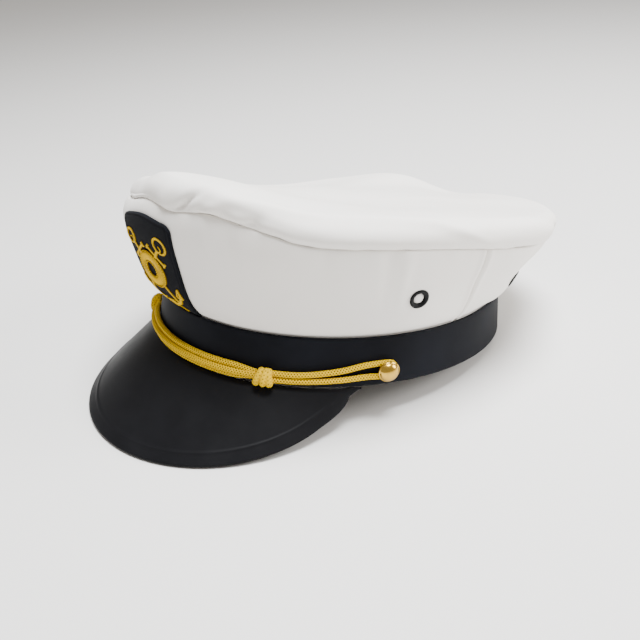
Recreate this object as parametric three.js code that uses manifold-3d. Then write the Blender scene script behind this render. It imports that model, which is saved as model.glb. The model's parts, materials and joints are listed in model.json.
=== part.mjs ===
// A yacht captain's hat: white cloth crown, dark head band, moulded peak and gold cord.
// Millimetres, +Z up. The hat stands by itself on the lip of its peak and the rear of its band.

import * as THREE from 'three';
import { mergeVertices } from 'three/addons/utils/BufferGeometryUtils.js';
import Module from 'manifold-3d';

const wasm = await Module();
wasm.setup();

// ---------------------------------------------------------------------------------------------
// Driving dimensions. The hat's own frame has its origin at the centre of the band's lower edge,
// the front end of the band's oval at -Y and the wearer's left at +X. Angles run round the head
// from there, positive towards the wearer's left. The soft band has twisted a little: the peak,
// the badge and the trim are centred on a front that is turned by frontTurn, and the angles of
// what is sewn or fixed to the band and crown are counted from that front.
// ---------------------------------------------------------------------------------------------
const gap = 0.35;

const bandHalfLength = 103;
const bandHalfWidth = 85;
const bandHeight = 25;
const bandWall = 2;
const bandLean = 3.2;
const frontWidening = 0.034;
const bandSegments = 64;
const frontTurn = 12;

const crownWall = 1.6;
const crownTuck = 6;
const crownLeftShift = 4;
const wallSwells = { side: 1.5, front: 6 };
const rearSeamAngle = { low: 99, high: 96.5 };
const panelRows = 6;
const panelColumns = { side: 22, back: 24 };

const rimWidth = 9;
const topCentre = { x: 4, y: 4, height: 73 };
const rollShare = 0.5;
const topSteps = 8;
const topSegments = 64;
const topBlur = 75;

// The seam round the crown's top: flare is how far it stands out from the head's oval, rise is
// its height above the band, roll the height of the rolled rim above it and overhang how far the
// rim stands out past it. The soft crown has slumped to the wearer's right, and the rim is
// dented beside the front.
const crownSections = [
  { angle: -165, flare: 19, rise: 28.5, roll: 9.5, overhang: 2.5 },
  { angle: -150, flare: 17, rise: 26, roll: 8, overhang: 2.5 },
  { angle: -129, flare: 13.5, rise: 30.5, roll: 11.5, overhang: 2.5 },
  { angle: -108, flare: 10, rise: 27, roll: 10, overhang: 2.5 },
  { angle: -85, flare: 9, rise: 23, roll: 9.4, overhang: 2.5 },
  { angle: -60, flare: 10.5, rise: 30, roll: 9.5, overhang: 2.2 },
  { angle: -40, flare: 12.5, rise: 40, roll: 9.5, overhang: 1.5 },
  { angle: -20, flare: 12.5, rise: 46.5, roll: 9, overhang: 0.2 },
  { angle: 0, flare: 12.5, rise: 54, roll: 10, overhang: 0.1 },
  { angle: 13, flare: 13, rise: 60, roll: 11.5, overhang: 0.5 },
  { angle: 24, flare: 13.5, rise: 59, roll: 14.5, overhang: 1.5 },
  { angle: 35, flare: 13, rise: 61.8, roll: 12, overhang: 2 },
  { angle: 46, flare: 12, rise: 58.7, roll: 12, overhang: 2.5 },
  { angle: 60, flare: 10.5, rise: 52.5, roll: 12, overhang: 2.5 },
  { angle: 80, flare: 9, rise: 51, roll: 12, overhang: 2.5 },
  { angle: 97, flare: 9, rise: 48.7, roll: 12.8, overhang: 2.5 },
  { angle: 113, flare: 10.7, rise: 44.6, roll: 13.4, overhang: 2.5 },
  { angle: 140, flare: 15.5, rise: 38, roll: 13.2, overhang: 2.5 },
  { angle: 172, flare: 19.5, rise: 30.5, roll: 11, overhang: 2.5 },
];

const peakReach = 43;
const peakDrop = 36.9;
const peakHalfAngle = 61.6;
const peakThickness = 1.8;
const peakReachPower = 0.88;
const peakDropPower = 0.45;
const peakCurl = 1.08;
const peakEnd = 0.01;
const peakRootShare = 0.12;
const peakColumns = 30;
const peakRows = 6;

const patchShape = {
  angle: 0.8,
  halfWidth: 21.5,
  halfAngle: 12,
  height: 56,
  thickness: 1.2,
  cornerRadius: 5,
  columns: 10,
  straightRows: 6,
  cornerRows: 3,
};

const emblem = {
  up: 24.8,
  thickness: 1,
  ringOuter: 10.5,
  ringInner: 3.6,
  anchorLean: 36.5,
  shankLength: 43.6,
  lineWidth: 2.2,
  eyeRadius: 4,
  eyeWidth: 1.6,
  eyeOverlap: 0.8,
  stockLength: 13,
  stockBelowEye: 9,
  armRadius: 9.5,
  armSpread: 62,
  flukeRoot: 0.22,
  flukeReach: 1.1,
};

const cordDiameter = 3.1;
const cordStep = { turn: 3.6, front: 7 };
const cordFronts = [
  { name: 'cord_front_upper', height: 7.9, sag: 0.2, layer: 0 },
  { name: 'cord_front_middle', height: 5.1, sag: 0, layer: 2.1 },
  { name: 'cord_front_lower', height: 2.3, sag: -0.2, layer: 0 },
];
const cordOut = [
  { share: 0, height: 6.5 },
  { share: 0.3, height: 7.1 },
  { share: 0.65, height: 9.4 },
  { share: 0.9, height: 12 },
];
const cordBack = [
  { share: 0.9, height: 5.9 },
  { share: 0.65, height: 4.8 },
  { share: 0.3, height: 3.6 },
  { share: 0, height: 3 },
];
const cordRoundButton = { degrees: [60, 10, -50, -110], clearance: 0.45, before: 3 };
const knotAngles = { left: 38, right: -34 };
const knotSize = { length: 9.4, height: 5, halfHeight: 5, halfDepth: 3.9 };
const knotLobes = [
  { along: -0.5, radius: 0 },
  { along: -0.5, radius: 0.8 },
  { along: -0.36, radius: 1 },
  { along: -0.18, radius: 0.86 },
  { along: 0, radius: 1 },
  { along: 0.18, radius: 0.86 },
  { along: 0.36, radius: 1 },
  { along: 0.5, radius: 0.8 },
  { along: 0.5, radius: 0 },
];

const button = {
  angle: 73,
  height: 9,
  shankRadius: 1.5,
  baseRadius: 5.2,
  capRadius: 5.6,
  rimHeight: 0.6,
  domeHeight: 3.8,
};

const eyelet = {
  holeRadius: 2.3,
  barrelRadius: 3,
  flangeRadius: 5,
  flangeThickness: 0.8,
  edgeRounding: 0.6,
  lipRounding: 0.2,
  boreDepth: 12,
};
const eyelets = [
  { name: 'eyelet_side_left', angle: 78.7, climb: 0.46 },
  { name: 'eyelet_side_right', angle: -78.7, climb: 0.46 },
  { name: 'eyelet_rear_left', angle: 128, climb: 0.32 },
  { name: 'eyelet_rear_right', angle: -128, climb: 0.32 },
];

// ---------------------------------------------------------------------------------------------
// The oval of the head, and the surfaces that are measured from it.
// ---------------------------------------------------------------------------------------------
const radians = THREE.MathUtils.degToRad;

// The place on the oval of an angle in degrees that is counted from the turned front.
const fromFront = (angle) => radians(frontTurn + angle);

// A point on the head's oval at an angle in radians, moved outward by offset.
function oval(angle, offset, height) {
  const widening = 1 + frontWidening * Math.cos(angle);
  const point = new THREE.Vector3(
    bandHalfWidth * Math.sin(angle) * widening,
    -bandHalfLength * Math.cos(angle),
    height,
  );
  return point.addScaledVector(outward(angle), offset);
}

function outward(angle) {
  return new THREE.Vector3(
    Math.sin(angle) / bandHalfWidth,
    -Math.cos(angle) / bandHalfLength,
    0,
  ).normalize();
}

// The band's outer face leans inward towards its upper edge.
function bandFace(angle, height, offset) {
  return oval(angle, offset - bandLean * height / bandHeight, height);
}

// One column of a table of rows set at angles, blended smoothly all the way round the head.
function around(rows, column, angle) {
  const count = rows.length;
  const row = (index) => {
    const turns = Math.floor(index / count);
    const entry = rows[index - turns * count];
    return { angle: entry.angle + 360 * turns, value: entry[column] };
  };
  const first = rows[0].angle;
  const here = first + THREE.MathUtils.euclideanModulo(THREE.MathUtils.radToDeg(angle) - first, 360);
  const index = rows.findLastIndex((entry) => entry.angle <= here);
  const [before, from, to, after] = [-1, 0, 1, 2].map((step) => row(index + step));
  const span = to.angle - from.angle;
  const leave = (to.value - before.value) / (to.angle - before.angle) * span;
  const arrive = (after.value - from.value) / (after.angle - from.angle) * span;
  const t = (here - from.angle) / span;
  return from.value * (1 + 2 * t) * (1 - t) ** 2
    + to.value * t * t * (3 - 2 * t)
    + leave * t * (1 - t) ** 2
    + arrive * t * t * (t - 1);
}

// The line where the crown's wall meets its top panel.
function seamPoint(angle, offset) {
  const flare = around(crownSections, 'flare', angle);
  const rise = around(crownSections, 'rise', angle);
  const point = oval(angle, flare + offset, bandHeight + rise);
  point.x += crownLeftShift;
  return point;
}

// How far the crown's wall swells past a straight line from its foot to the seam.
function wallSwell(angle, climb) {
  const facing = Math.max(0, Math.cos(angle));
  const most = THREE.MathUtils.lerp(wallSwells.side, wallSwells.front, facing ** 2);
  return most * (1 - (2 * climb - 1) ** 4);
}

// The crown's wall: climb is 0 at the band's upper edge and 1 at the seam.
function wallPoint(angle, climb, offset) {
  const foot = bandFace(angle, bandHeight, offset - bandWall - gap);
  const head = seamPoint(angle, offset);
  return foot.lerp(head, climb).addScaledVector(outward(angle), wallSwell(angle, climb));
}

// ---------------------------------------------------------------------------------------------
// Ways of making a solid.
// ---------------------------------------------------------------------------------------------

// Moves every vertex of a geometry to where a function sends it.
function bend(geometry, place) {
  const bent = geometry.clone();
  bent.deleteAttribute('normal');
  bent.deleteAttribute('uv');
  const positions = bent.getAttribute('position');
  const vertex = new THREE.Vector3();
  for (let index = 0; index < positions.count; index += 1) {
    vertex.fromBufferAttribute(positions, index);
    const moved = place(vertex);
    positions.setXYZ(index, moved.x, moved.y, moved.z);
  }
  const merged = mergeVertices(bent, 1e-4);
  merged.computeVertexNormals();
  return merged;
}

// A block of unit size bent into a panel: place gets two shares from 0 to 1 and a depth from
// 0 at the outer face to 1 at the inner face.
function panel(columns, rows, place) {
  const block = new THREE.BoxGeometry(1, 1, 1, columns, rows, 1);
  return bend(block, (v) => place(v.x + 0.5, v.y + 0.5, 0.5 - v.z));
}

function toManifold(geometry) {
  const plain = geometry.clone();
  plain.deleteAttribute('normal');
  plain.deleteAttribute('uv');
  const merged = mergeVertices(plain, 1e-4);
  return new wasm.Manifold(new wasm.Mesh({
    numProp: 3,
    vertProperties: new Float32Array(merged.getAttribute('position').array),
    triVerts: new Uint32Array(merged.getIndex().array),
  }));
}

function fromManifold(solid) {
  const mesh = solid.getMesh();
  const geometry = new THREE.BufferGeometry();
  const corners = new Float32Array(mesh.vertProperties);
  geometry.setAttribute('position', new THREE.BufferAttribute(corners, 3));
  geometry.setIndex(new THREE.BufferAttribute(new Uint32Array(mesh.triVerts), 1));
  geometry.computeVertexNormals();
  return geometry;
}

// A ring with a closed section, bent onto the head's oval. The section is listed as
// { offset, height } corners, anticlockwise with the outside to the right.
function ovalRing(section, segments, place) {
  const middle = 100;
  const corners = [...section, section[0]];
  const profile = corners.map((c) => new THREE.Vector2(middle + c.offset, c.height));
  const ring = new THREE.LatheGeometry(profile, segments);
  return bend(ring, (v) => place(Math.atan2(v.x, v.z), v.y, Math.hypot(v.x, v.z) - middle));
}

// ---------------------------------------------------------------------------------------------
// Crown.
// ---------------------------------------------------------------------------------------------
const rearSeam = (climb) => THREE.MathUtils.lerp(rearSeamAngle.low, rearSeamAngle.high, climb);

// A cloth panel of the crown's wall, from one seam to the next. Its foot is tucked inside the band.
function crownPanel(from, to, columns) {
  const rows = panelRows + 1;
  const sideGap = gap / 2 / bandHalfWidth;
  return panel(columns, rows, (across, up, depth) => {
    const row = up * rows;
    const climb = Math.max(0, (row - 1) / panelRows);
    const start = fromFront(from(climb)) + sideGap;
    const end = fromFront(to(climb)) - sideGap;
    const angle = THREE.MathUtils.lerp(start, end, across);
    const inward = -depth * crownWall;
    if (row < 1) {
      const height = bandHeight - crownTuck * (1 - row);
      return bandFace(angle, height, inward - bandWall - gap);
    }
    return wallPoint(angle, climb, inward);
  });
}

// The rolled rim of the top panel: turn is 0 at the seam and 1 on the crest.
function rimPoint(angle, turn, depth) {
  const start = -Math.acos(1 - around(crownSections, 'overhang', angle) / rimWidth);
  const roll = THREE.MathUtils.lerp(start, Math.PI / 2, turn);
  const width = rimWidth - depth * crownWall;
  const rimHeight = around(crownSections, 'roll', angle) / (1 - Math.sin(start));
  const height = rimHeight - depth * crownWall;
  const offset = width * Math.cos(roll) - rimWidth * Math.cos(start);
  const lift = height * Math.sin(roll) - rimHeight * Math.sin(start);
  const rim = seamPoint(angle, offset);
  rim.z += gap + lift;
  return rim;
}

// The top panel: share is 0 at the seam and 1 at the middle. It leaves the seam outward, rolls
// over the rim and runs in to the middle, and the rim's dents blur out on the way.
function topPoint(angle, share, depth) {
  const turn = Math.min(1, share / rollShare);
  const run = Math.max(0, (share - rollShare) / (1 - rollShare));
  const rim = rimPoint(angle, turn, depth);
  const blur = radians(topBlur) * run;
  const heights = [-1, -0.5, 0, 0.5, 1].map((side) => rimPoint(angle + blur * side, turn, depth).z);
  const height = heights.reduce((sum, z) => sum + z) / heights.length;
  const settle = run * run * (3 - 2 * run);
  const middle = topCentre.height - depth * crownWall;
  return new THREE.Vector3(
    THREE.MathUtils.lerp(rim.x, topCentre.x, run),
    THREE.MathUtils.lerp(rim.y, topCentre.y, run),
    THREE.MathUtils.lerp(height, middle, settle),
  );
}

function crownTop() {
  const outside = [];
  const inside = [];
  for (let step = 0; step <= topSteps; step += 1) {
    const share = step / topSteps;
    outside.push(new THREE.Vector2(1 - share, 0));
    inside.unshift(new THREE.Vector2(1 - share, -1));
  }
  const disc = new THREE.LatheGeometry([...inside, ...outside], topSegments);
  return bend(disc, (v) => topPoint(Math.atan2(v.x, v.z), 1 - Math.hypot(v.x, v.z), -v.y));
}

// ---------------------------------------------------------------------------------------------
// Band and peak.
// ---------------------------------------------------------------------------------------------
function bandRing() {
  const section = [
    { offset: -bandWall, height: 0 },
    { offset: 0, height: 0 },
    { offset: 0, height: bandHeight },
    { offset: -bandWall, height: bandHeight },
  ];
  return ovalRing(section, bandSegments, bandFace);
}

// The peak's upper face: side runs from -1 to 1 between its ends, and share is 0 at its root under
// the band and 1 at its lip.
function peakPoint(side, share, depth) {
  const angle = fromFront(peakHalfAngle * side);
  const ahead = Math.cos(Math.PI / 2 * side);
  const fullness = Math.max(peakEnd, ahead);
  const reach = peakReach * fullness ** peakReachPower;
  const drop = peakDrop * fullness ** peakDropPower;
  const thickness = depth * peakThickness;
  if (share <= peakRootShare) {
    const offset = THREE.MathUtils.lerp(-bandWall, gap, share / peakRootShare);
    return oval(angle, offset, -gap - thickness);
  }
  const run = (share - peakRootShare) / (1 - peakRootShare);
  const steepness = peakCurl * drop * run ** (peakCurl - 1);
  const slope = Math.hypot(steepness, reach);
  const offset = gap + reach * run - thickness * steepness / slope;
  const height = -gap - drop * run ** peakCurl - thickness * reach / slope;
  return oval(angle, offset, height);
}

function peakShell() {
  return panel(peakColumns, peakRows, (across, up, depth) => {
    const side = Math.sin(Math.PI * (across - 0.5));
    return peakPoint(side, 1 - up, depth);
  });
}

// ---------------------------------------------------------------------------------------------
// Badge: a felt patch with raised embroidery of two crossed anchors behind a ring.
// ---------------------------------------------------------------------------------------------

// A point over the front of the crown, from distances along the cloth in millimetres.
function frontPoint(across, up, out) {
  const front = fromFront(0);
  const wallLength = wallPoint(front, 1, 0).distanceTo(wallPoint(front, 0, 0));
  const aside = patchShape.halfAngle * across / patchShape.halfWidth;
  return wallPoint(fromFront(patchShape.angle + aside), up / wallLength, out);
}

function badgePatch() {
  const { halfWidth, height, thickness, cornerRadius, columns, straightRows, cornerRows } = patchShape;
  const rows = straightRows + cornerRows;
  return panel(columns, rows, (across, up, depth) => {
    const row = up * rows;
    const turn = Math.max(0, row - straightRows) / cornerRows * Math.PI / 2;
    const straight = Math.min(row, straightRows) / straightRows;
    const climb = THREE.MathUtils.lerp(gap, height - cornerRadius, straight);
    const half = halfWidth - cornerRadius * (1 - Math.cos(turn));
    const out = gap + thickness * (1 - depth);
    return frontPoint((2 * across - 1) * half, climb + cornerRadius * Math.sin(turn), out);
  });
}

// A point of the emblem, measured from the middle of its ring.
function emblemPoint(across, up, rise) {
  const out = gap + patchShape.thickness + gap + emblem.thickness * rise;
  return frontPoint(across, emblem.up + up, out);
}

// A raised line of stitching along a flat curve, given as a function from 0 to 1.
function stitchedLine(curve, width, steps) {
  const small = 0.001;
  return toManifold(panel(steps, 1, (along, side, depth) => {
    const here = curve(along);
    const direction = curve(along + small).sub(curve(along - small)).normalize();
    const shift = (side - 0.5) * width;
    return emblemPoint(here.x - direction.y * shift, here.y + direction.x * shift, 1 - depth);
  }));
}

function stitchedRing(centre, outer, inner, segments) {
  const section = [
    new THREE.Vector2(inner, 0),
    new THREE.Vector2(outer, 0),
    new THREE.Vector2(outer, 1),
    new THREE.Vector2(inner, 1),
    new THREE.Vector2(inner, 0),
  ];
  const ring = new THREE.LatheGeometry(section, segments);
  return toManifold(bend(ring, (v) => emblemPoint(centre.x + v.x, centre.y - v.z, v.y)));
}

// One anchor, leaning to one side: side is +1 for the anchor whose eye is on the wearer's left.
function anchorStrokes(side) {
  const lean = radians(emblem.anchorLean) * side;
  const turned = (x, y) => new THREE.Vector2(
    x * Math.cos(lean) + y * Math.sin(lean),
    -x * Math.sin(lean) + y * Math.cos(lean),
  );
  const { eyeRadius, eyeWidth, eyeOverlap, armRadius, flukeRoot, flukeReach, lineWidth } = emblem;
  const half = emblem.shankLength / 2;
  const halfStock = emblem.stockLength / 2;
  const stockUp = half - emblem.stockBelowEye;
  const line = (x0, y0, x1, y1) => (share) => turned(
    THREE.MathUtils.lerp(x0, x1, share),
    THREE.MathUtils.lerp(y0, y1, share),
  );
  const arm = (share) => {
    const spread = radians(emblem.armSpread) * (2 * share - 1);
    return turned(armRadius * Math.sin(spread), armRadius * (1 - Math.cos(spread)) - half);
  };
  const strokes = [
    stitchedLine(line(0, -half, 0, half - eyeRadius + eyeOverlap), lineWidth, 8),
    stitchedLine(line(-halfStock, stockUp, halfStock, stockUp), lineWidth, 2),
    stitchedLine(arm, lineWidth, 6),
    stitchedRing(turned(0, half), eyeRadius, eyeRadius - eyeWidth, 10),
  ];
  for (const [tip, root] of [[0, flukeRoot], [1, 1 - flukeRoot]]) {
    const fluke = (share) => arm(root).lerp(arm(tip), share * flukeReach);
    strokes.push(stitchedLine(fluke, lineWidth * 2, 1));
  }
  return strokes;
}

function badgeEmblem() {
  const centre = new THREE.Vector2(0, 0);
  const strokes = [
    stitchedRing(centre, emblem.ringOuter, emblem.ringInner, 16),
    ...anchorStrokes(1),
    ...anchorStrokes(-1),
  ];
  return fromManifold(strokes.reduce((whole, stroke) => whole.add(stroke)));
}

// ---------------------------------------------------------------------------------------------
// Cord, knots and side buttons.
// ---------------------------------------------------------------------------------------------
const cordRadius = cordDiameter / 2;
const besideBand = cordRadius + gap;
const meanRadius = (bandHalfLength + bandHalfWidth) / 2;

// A cord laid along the band. Its route lists the angle from the front and the height above the
// band's lower edge; out is the distance from the band's face to the middle of the cord.
function cordAlong(route, out, stepLength) {
  const stops = route.map((p) => new THREE.Vector2(radians(p.angle) * meanRadius, p.height));
  const flat = new THREE.SplineCurve(stops);
  const steps = Math.round(flat.getLength() / stepLength);
  const turn = fromFront(0);
  const points = flat.getSpacedPoints(steps).map((p) => bandFace(turn + p.x / meanRadius, p.y, out));
  const section = new THREE.Shape();
  section.absarc(0, 0, cordRadius, 0, Math.PI * 2);
  return new THREE.ExtrudeGeometry(section, {
    extrudePath: new THREE.CatmullRomCurve3(points),
    steps,
    curveSegments: 4,
    bevelEnabled: false,
  });
}

const knotHalfAngle = THREE.MathUtils.radToDeg((knotSize.length / 2 + gap) / bandHalfWidth);

// The doubled cord between a knot and its button: out along the band, round the button's shank
// and back. It is described for the wearer's left and turned over for the right.
function cordTurn(side) {
  const knotAngle = Math.abs(side > 0 ? knotAngles.left : knotAngles.right) + knotHalfAngle;
  const turnRadius = button.shankRadius + gap + cordRadius + cordRoundButton.clearance;
  const turn = cordRoundButton.degrees.map(radians).map((bearing) => ({
    angle: button.angle + THREE.MathUtils.radToDeg(turnRadius * Math.cos(bearing) / bandHalfLength),
    height: button.height + turnRadius * Math.sin(bearing),
  }));
  const lastAngle = button.angle - cordRoundButton.before;
  const place = ({ share, height }) => ({
    angle: THREE.MathUtils.lerp(knotAngle, lastAngle, share),
    height,
  });
  const route = [...cordOut.map(place), ...turn, ...cordBack.map(place)];
  const turned = route.map((p) => ({ angle: p.angle * side, height: p.height }));
  return cordAlong(turned, besideBand, cordStep.turn);
}

// One of the three runs across the front, from knot to knot.
function cordFront({ height, sag, layer }) {
  const first = knotAngles.right + knotHalfAngle;
  const last = knotAngles.left - knotHalfAngle;
  const route = [0, 0.2, 0.4, 0.6, 0.8, 1].map((share) => ({
    angle: THREE.MathUtils.lerp(first, last, share),
    height: height + sag * 4 * share * (1 - share),
  }));
  return cordAlong(route, besideBand + layer, cordStep.front);
}

function knot(angle) {
  const profile = knotLobes.map((lobe) => new THREE.Vector2(lobe.radius, lobe.along));
  const barrel = new THREE.LatheGeometry(profile, 12);
  return bend(barrel, (v) => bandFace(
    fromFront(angle) - v.y * knotSize.length / bandHalfWidth,
    knotSize.height + v.x * knotSize.halfHeight,
    knotSize.halfDepth + gap + v.z * knotSize.halfDepth,
  ));
}

function sideButton() {
  const capBase = gap + cordDiameter + gap;
  const domeBase = capBase + button.rimHeight;
  const profile = [
    new THREE.Vector2(0, 0),
    new THREE.Vector2(button.shankRadius, 0),
    new THREE.Vector2(button.shankRadius, capBase),
    new THREE.Vector2(button.baseRadius, capBase),
  ];
  for (const rise of [0, 20, 40, 60, 75].map(radians)) {
    profile.push(new THREE.Vector2(
      button.capRadius * Math.cos(rise),
      domeBase + button.domeHeight * Math.sin(rise),
    ));
  }
  profile.push(new THREE.Vector2(0, domeBase + button.domeHeight));
  return new THREE.LatheGeometry(profile, 16);
}

// ---------------------------------------------------------------------------------------------
// Vent eyelets.
// ---------------------------------------------------------------------------------------------
function wallNormal(angle, climb) {
  const small = 0.01;
  const along = wallPoint(angle + small, climb, 0).sub(wallPoint(angle - small, climb, 0));
  const up = wallPoint(angle, climb + small, 0).sub(wallPoint(angle, climb - small, 0));
  return along.cross(up).normalize();
}

function eyeletRing() {
  const { holeRadius, barrelRadius, flangeRadius, flangeThickness, edgeRounding, lipRounding } = eyelet;
  const inside = -crownWall - gap;
  const innerFace = inside - flangeThickness;
  const outerFace = gap + flangeThickness;
  const corners = [
    { radius: holeRadius, along: innerFace },
    { radius: flangeRadius - edgeRounding, along: innerFace },
    { radius: flangeRadius - edgeRounding, along: inside },
    { radius: barrelRadius, along: inside },
    { radius: barrelRadius, along: gap },
    { radius: flangeRadius, along: gap },
    { radius: flangeRadius - edgeRounding, along: outerFace },
    { radius: holeRadius + edgeRounding, along: outerFace },
    { radius: holeRadius, along: gap + lipRounding },
    { radius: holeRadius, along: innerFace },
  ];
  const profile = corners.map((corner) => new THREE.Vector2(corner.radius, corner.along));
  return new THREE.LatheGeometry(profile, 12);
}

// Puts a part whose axis is its own Y onto the crown or band.
function standOn(mesh, point, normal) {
  mesh.position.copy(point);
  mesh.quaternion.setFromUnitVectors(new THREE.Vector3(0, 1, 0), normal);
  return mesh;
}

function standOnWall(mesh, spot) {
  const angle = fromFront(spot.angle);
  return standOn(mesh, wallPoint(angle, spot.climb, 0), wallNormal(angle, spot.climb));
}

// Bores the holes of the eyelets that lie on this panel.
function withEyeletHoles(geometry, names) {
  let solid = toManifold(geometry);
  const boreRadius = eyelet.barrelRadius + gap;
  for (const spot of eyelets.filter((e) => names.includes(e.name))) {
    const bore = new THREE.CylinderGeometry(boreRadius, boreRadius, eyelet.boreDepth, 16);
    const tool = standOnWall(new THREE.Mesh(bore), spot);
    tool.updateMatrixWorld();
    solid = solid.subtract(toManifold(bore.applyMatrix4(tool.matrixWorld)));
  }
  return fromManifold(solid);
}

// ---------------------------------------------------------------------------------------------
// Materials and the assembled hat.
// ---------------------------------------------------------------------------------------------
const whiteCloth = new THREE.MeshStandardMaterial({ color: 0xe2e0de, roughness: 0.85, metalness: 0 });
const bandCloth = new THREE.MeshStandardMaterial({ color: 0x1d1d20, roughness: 0.8, metalness: 0 });
const peakPlastic = new THREE.MeshStandardMaterial({ color: 0x232325, roughness: 0.4, metalness: 0 });
const patchFelt = new THREE.MeshStandardMaterial({ color: 0x15171c, roughness: 0.9, metalness: 0 });
const goldThread = new THREE.MeshStandardMaterial({ color: 0xc79a35, roughness: 0.5, metalness: 0 });
const goldCord = new THREE.MeshStandardMaterial({ color: 0xd0a838, roughness: 0.6, metalness: 0 });
const buttonMetal = new THREE.MeshStandardMaterial({ color: 0xcfa961, roughness: 0.25, metalness: 1 });
const eyeletMetal = new THREE.MeshStandardMaterial({ color: 0x101012, roughness: 0.4, metalness: 0.6 });

const hat = new THREE.Group();

function add(name, geometry, material) {
  const mesh = new THREE.Mesh(geometry, material);
  mesh.name = name;
  hat.add(mesh);
  return mesh;
}

const frontSeam = () => 0;
const leftWall = crownPanel(frontSeam, rearSeam, panelColumns.side);
const rightWall = crownPanel((climb) => -rearSeam(climb), frontSeam, panelColumns.side);
const backWall = crownPanel(rearSeam, (climb) => 360 - rearSeam(climb), panelColumns.back);
add('crown_left_panel', withEyeletHoles(leftWall, ['eyelet_side_left']), whiteCloth);
add('crown_right_panel', withEyeletHoles(rightWall, ['eyelet_side_right']), whiteCloth);
add('crown_back_panel', withEyeletHoles(backWall, ['eyelet_rear_left', 'eyelet_rear_right']), whiteCloth);
add('crown_top', crownTop(), whiteCloth);
const band = add('band', bandRing(), bandCloth);
const peak = add('peak', peakShell(), peakPlastic);
add('badge_patch', badgePatch(), patchFelt);
add('badge_emblem', badgeEmblem(), goldThread);

for (const run of cordFronts) {
  add(run.name, cordFront(run), goldCord);
}
add('cord_left_turn', cordTurn(1), goldCord);
add('cord_right_turn', cordTurn(-1), goldCord);
add('knot_left', knot(knotAngles.left), goldCord);
add('knot_right', knot(knotAngles.right), goldCord);

for (const [name, side] of [['button_left', 1], ['button_right', -1]]) {
  const angle = fromFront(button.angle * side);
  const seat = bandFace(angle, button.height, gap);
  standOn(add(name, sideButton(), buttonMetal), seat, outward(angle));
}

for (const spot of eyelets) {
  standOnWall(add(spot.name, eyeletRing(), eyeletMetal), spot);
}

// The hat faces -Y with its front, and leans back until the lip of the peak and the rear of the
// band both touch the ground.
const facing = new THREE.Matrix4().makeRotationZ(-fromFront(0));
const bandRear = new THREE.Box3().setFromBufferAttribute(
  band.geometry.clone().applyMatrix4(facing).getAttribute('position'),
).max.y;
const lip = peak.geometry.clone().applyMatrix4(facing).getAttribute('position');
let restTilt = 0;
for (let index = 0; index < lip.count; index += 1) {
  const slope = Math.atan2(-lip.getZ(index), bandRear - lip.getY(index));
  restTilt = Math.max(restTilt, slope);
}
hat.rotation.set(-restTilt, 0, -fromFront(0));

const captainHat = new THREE.Group();
captainHat.add(hat);
captainHat.updateMatrixWorld(true);
const box = new THREE.Box3().setFromObject(captainHat, true);
const centre = box.getCenter(new THREE.Vector3());
hat.position.set(-centre.x, -centre.y, -box.min.z);

export default captainHat;
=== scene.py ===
import json
import math
from functools import lru_cache

import bmesh
import bpy
from mathutils import Matrix, Vector, noise
from mathutils.kdtree import KDTree


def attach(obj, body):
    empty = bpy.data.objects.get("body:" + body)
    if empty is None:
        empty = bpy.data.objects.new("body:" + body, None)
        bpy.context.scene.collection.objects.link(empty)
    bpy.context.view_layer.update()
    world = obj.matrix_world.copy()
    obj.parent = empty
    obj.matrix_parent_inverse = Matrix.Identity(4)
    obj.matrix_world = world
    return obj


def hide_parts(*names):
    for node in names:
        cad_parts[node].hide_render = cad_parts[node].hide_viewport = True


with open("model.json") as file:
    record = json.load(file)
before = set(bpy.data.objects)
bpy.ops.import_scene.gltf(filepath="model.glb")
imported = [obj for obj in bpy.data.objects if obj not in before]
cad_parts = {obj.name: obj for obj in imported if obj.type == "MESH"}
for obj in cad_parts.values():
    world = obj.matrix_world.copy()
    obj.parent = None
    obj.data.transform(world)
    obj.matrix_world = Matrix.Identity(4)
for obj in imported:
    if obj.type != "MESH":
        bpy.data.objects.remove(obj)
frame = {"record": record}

bl_info = {
    "name": "Captain's hat",
    "version": (1, 0, 0),
    "blender": (4, 5, 0),
    "location": "View3D > Sidebar > Hat",
    "description": "Dresses a captain's hat: crown, band, peak, badge, cord and buttons",
    "category": "Add Mesh",
}

# ------------------------------------------------------------------------------------------------
# The hat's own frame: millimetres, origin at the middle of the band's lower edge, the front end of
# the band's oval at -Y, the wearer's left at +X. Angles run round the head in degrees from there,
# positive towards the wearer's left. The peak, the badge and the trim are centred on FRONT_TURN,
# and their angles are counted from it. The numbers are the model's driving dimensions.
# ------------------------------------------------------------------------------------------------
PER_METRE = 1000.0
UP = Vector((0, 0, 1))
GAP = 0.35
FRONT_TURN = 12.0

# The band's outer oval, fuller towards the front, and the band's height, wall and lean inwards.
HALF_LENGTH, HALF_WIDTH = 103.0, 85.0
MEAN_RADIUS = (HALF_LENGTH + HALF_WIDTH) / 2
FRONT_WIDENING = 0.034
BAND_HEIGHT, BAND_WALL, BAND_LEAN = 25.0, 2.0, 3.2

# The crown's wall is tucked behind the band and set a little to the wearer's left. It swells out
# between its foot and its seam, and bulges at the front end of the oval.
CROWN_TUCK, CROWN_SHIFT = 6.0, 4.0
SWELL_SIDE, SWELL_FRONT = 1.5, 6.0
FRONT_BULGE, BULGE_SPREAD = 2.3, 20.0
REAR_SEAM_LOW, REAR_SEAM_HIGH = 99.0, 96.5

# The crown's top: its rolled rim, its middle, the share of the way there that the roll takes, and
# the degrees over which the rim's height is evened out towards the middle.
RIM_WIDTH = 9.0
TOP_CENTRE = (4.0, 4.0, 73.0)
ROLL_SHARE, TOP_BLUR = 0.5, 75.0

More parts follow.
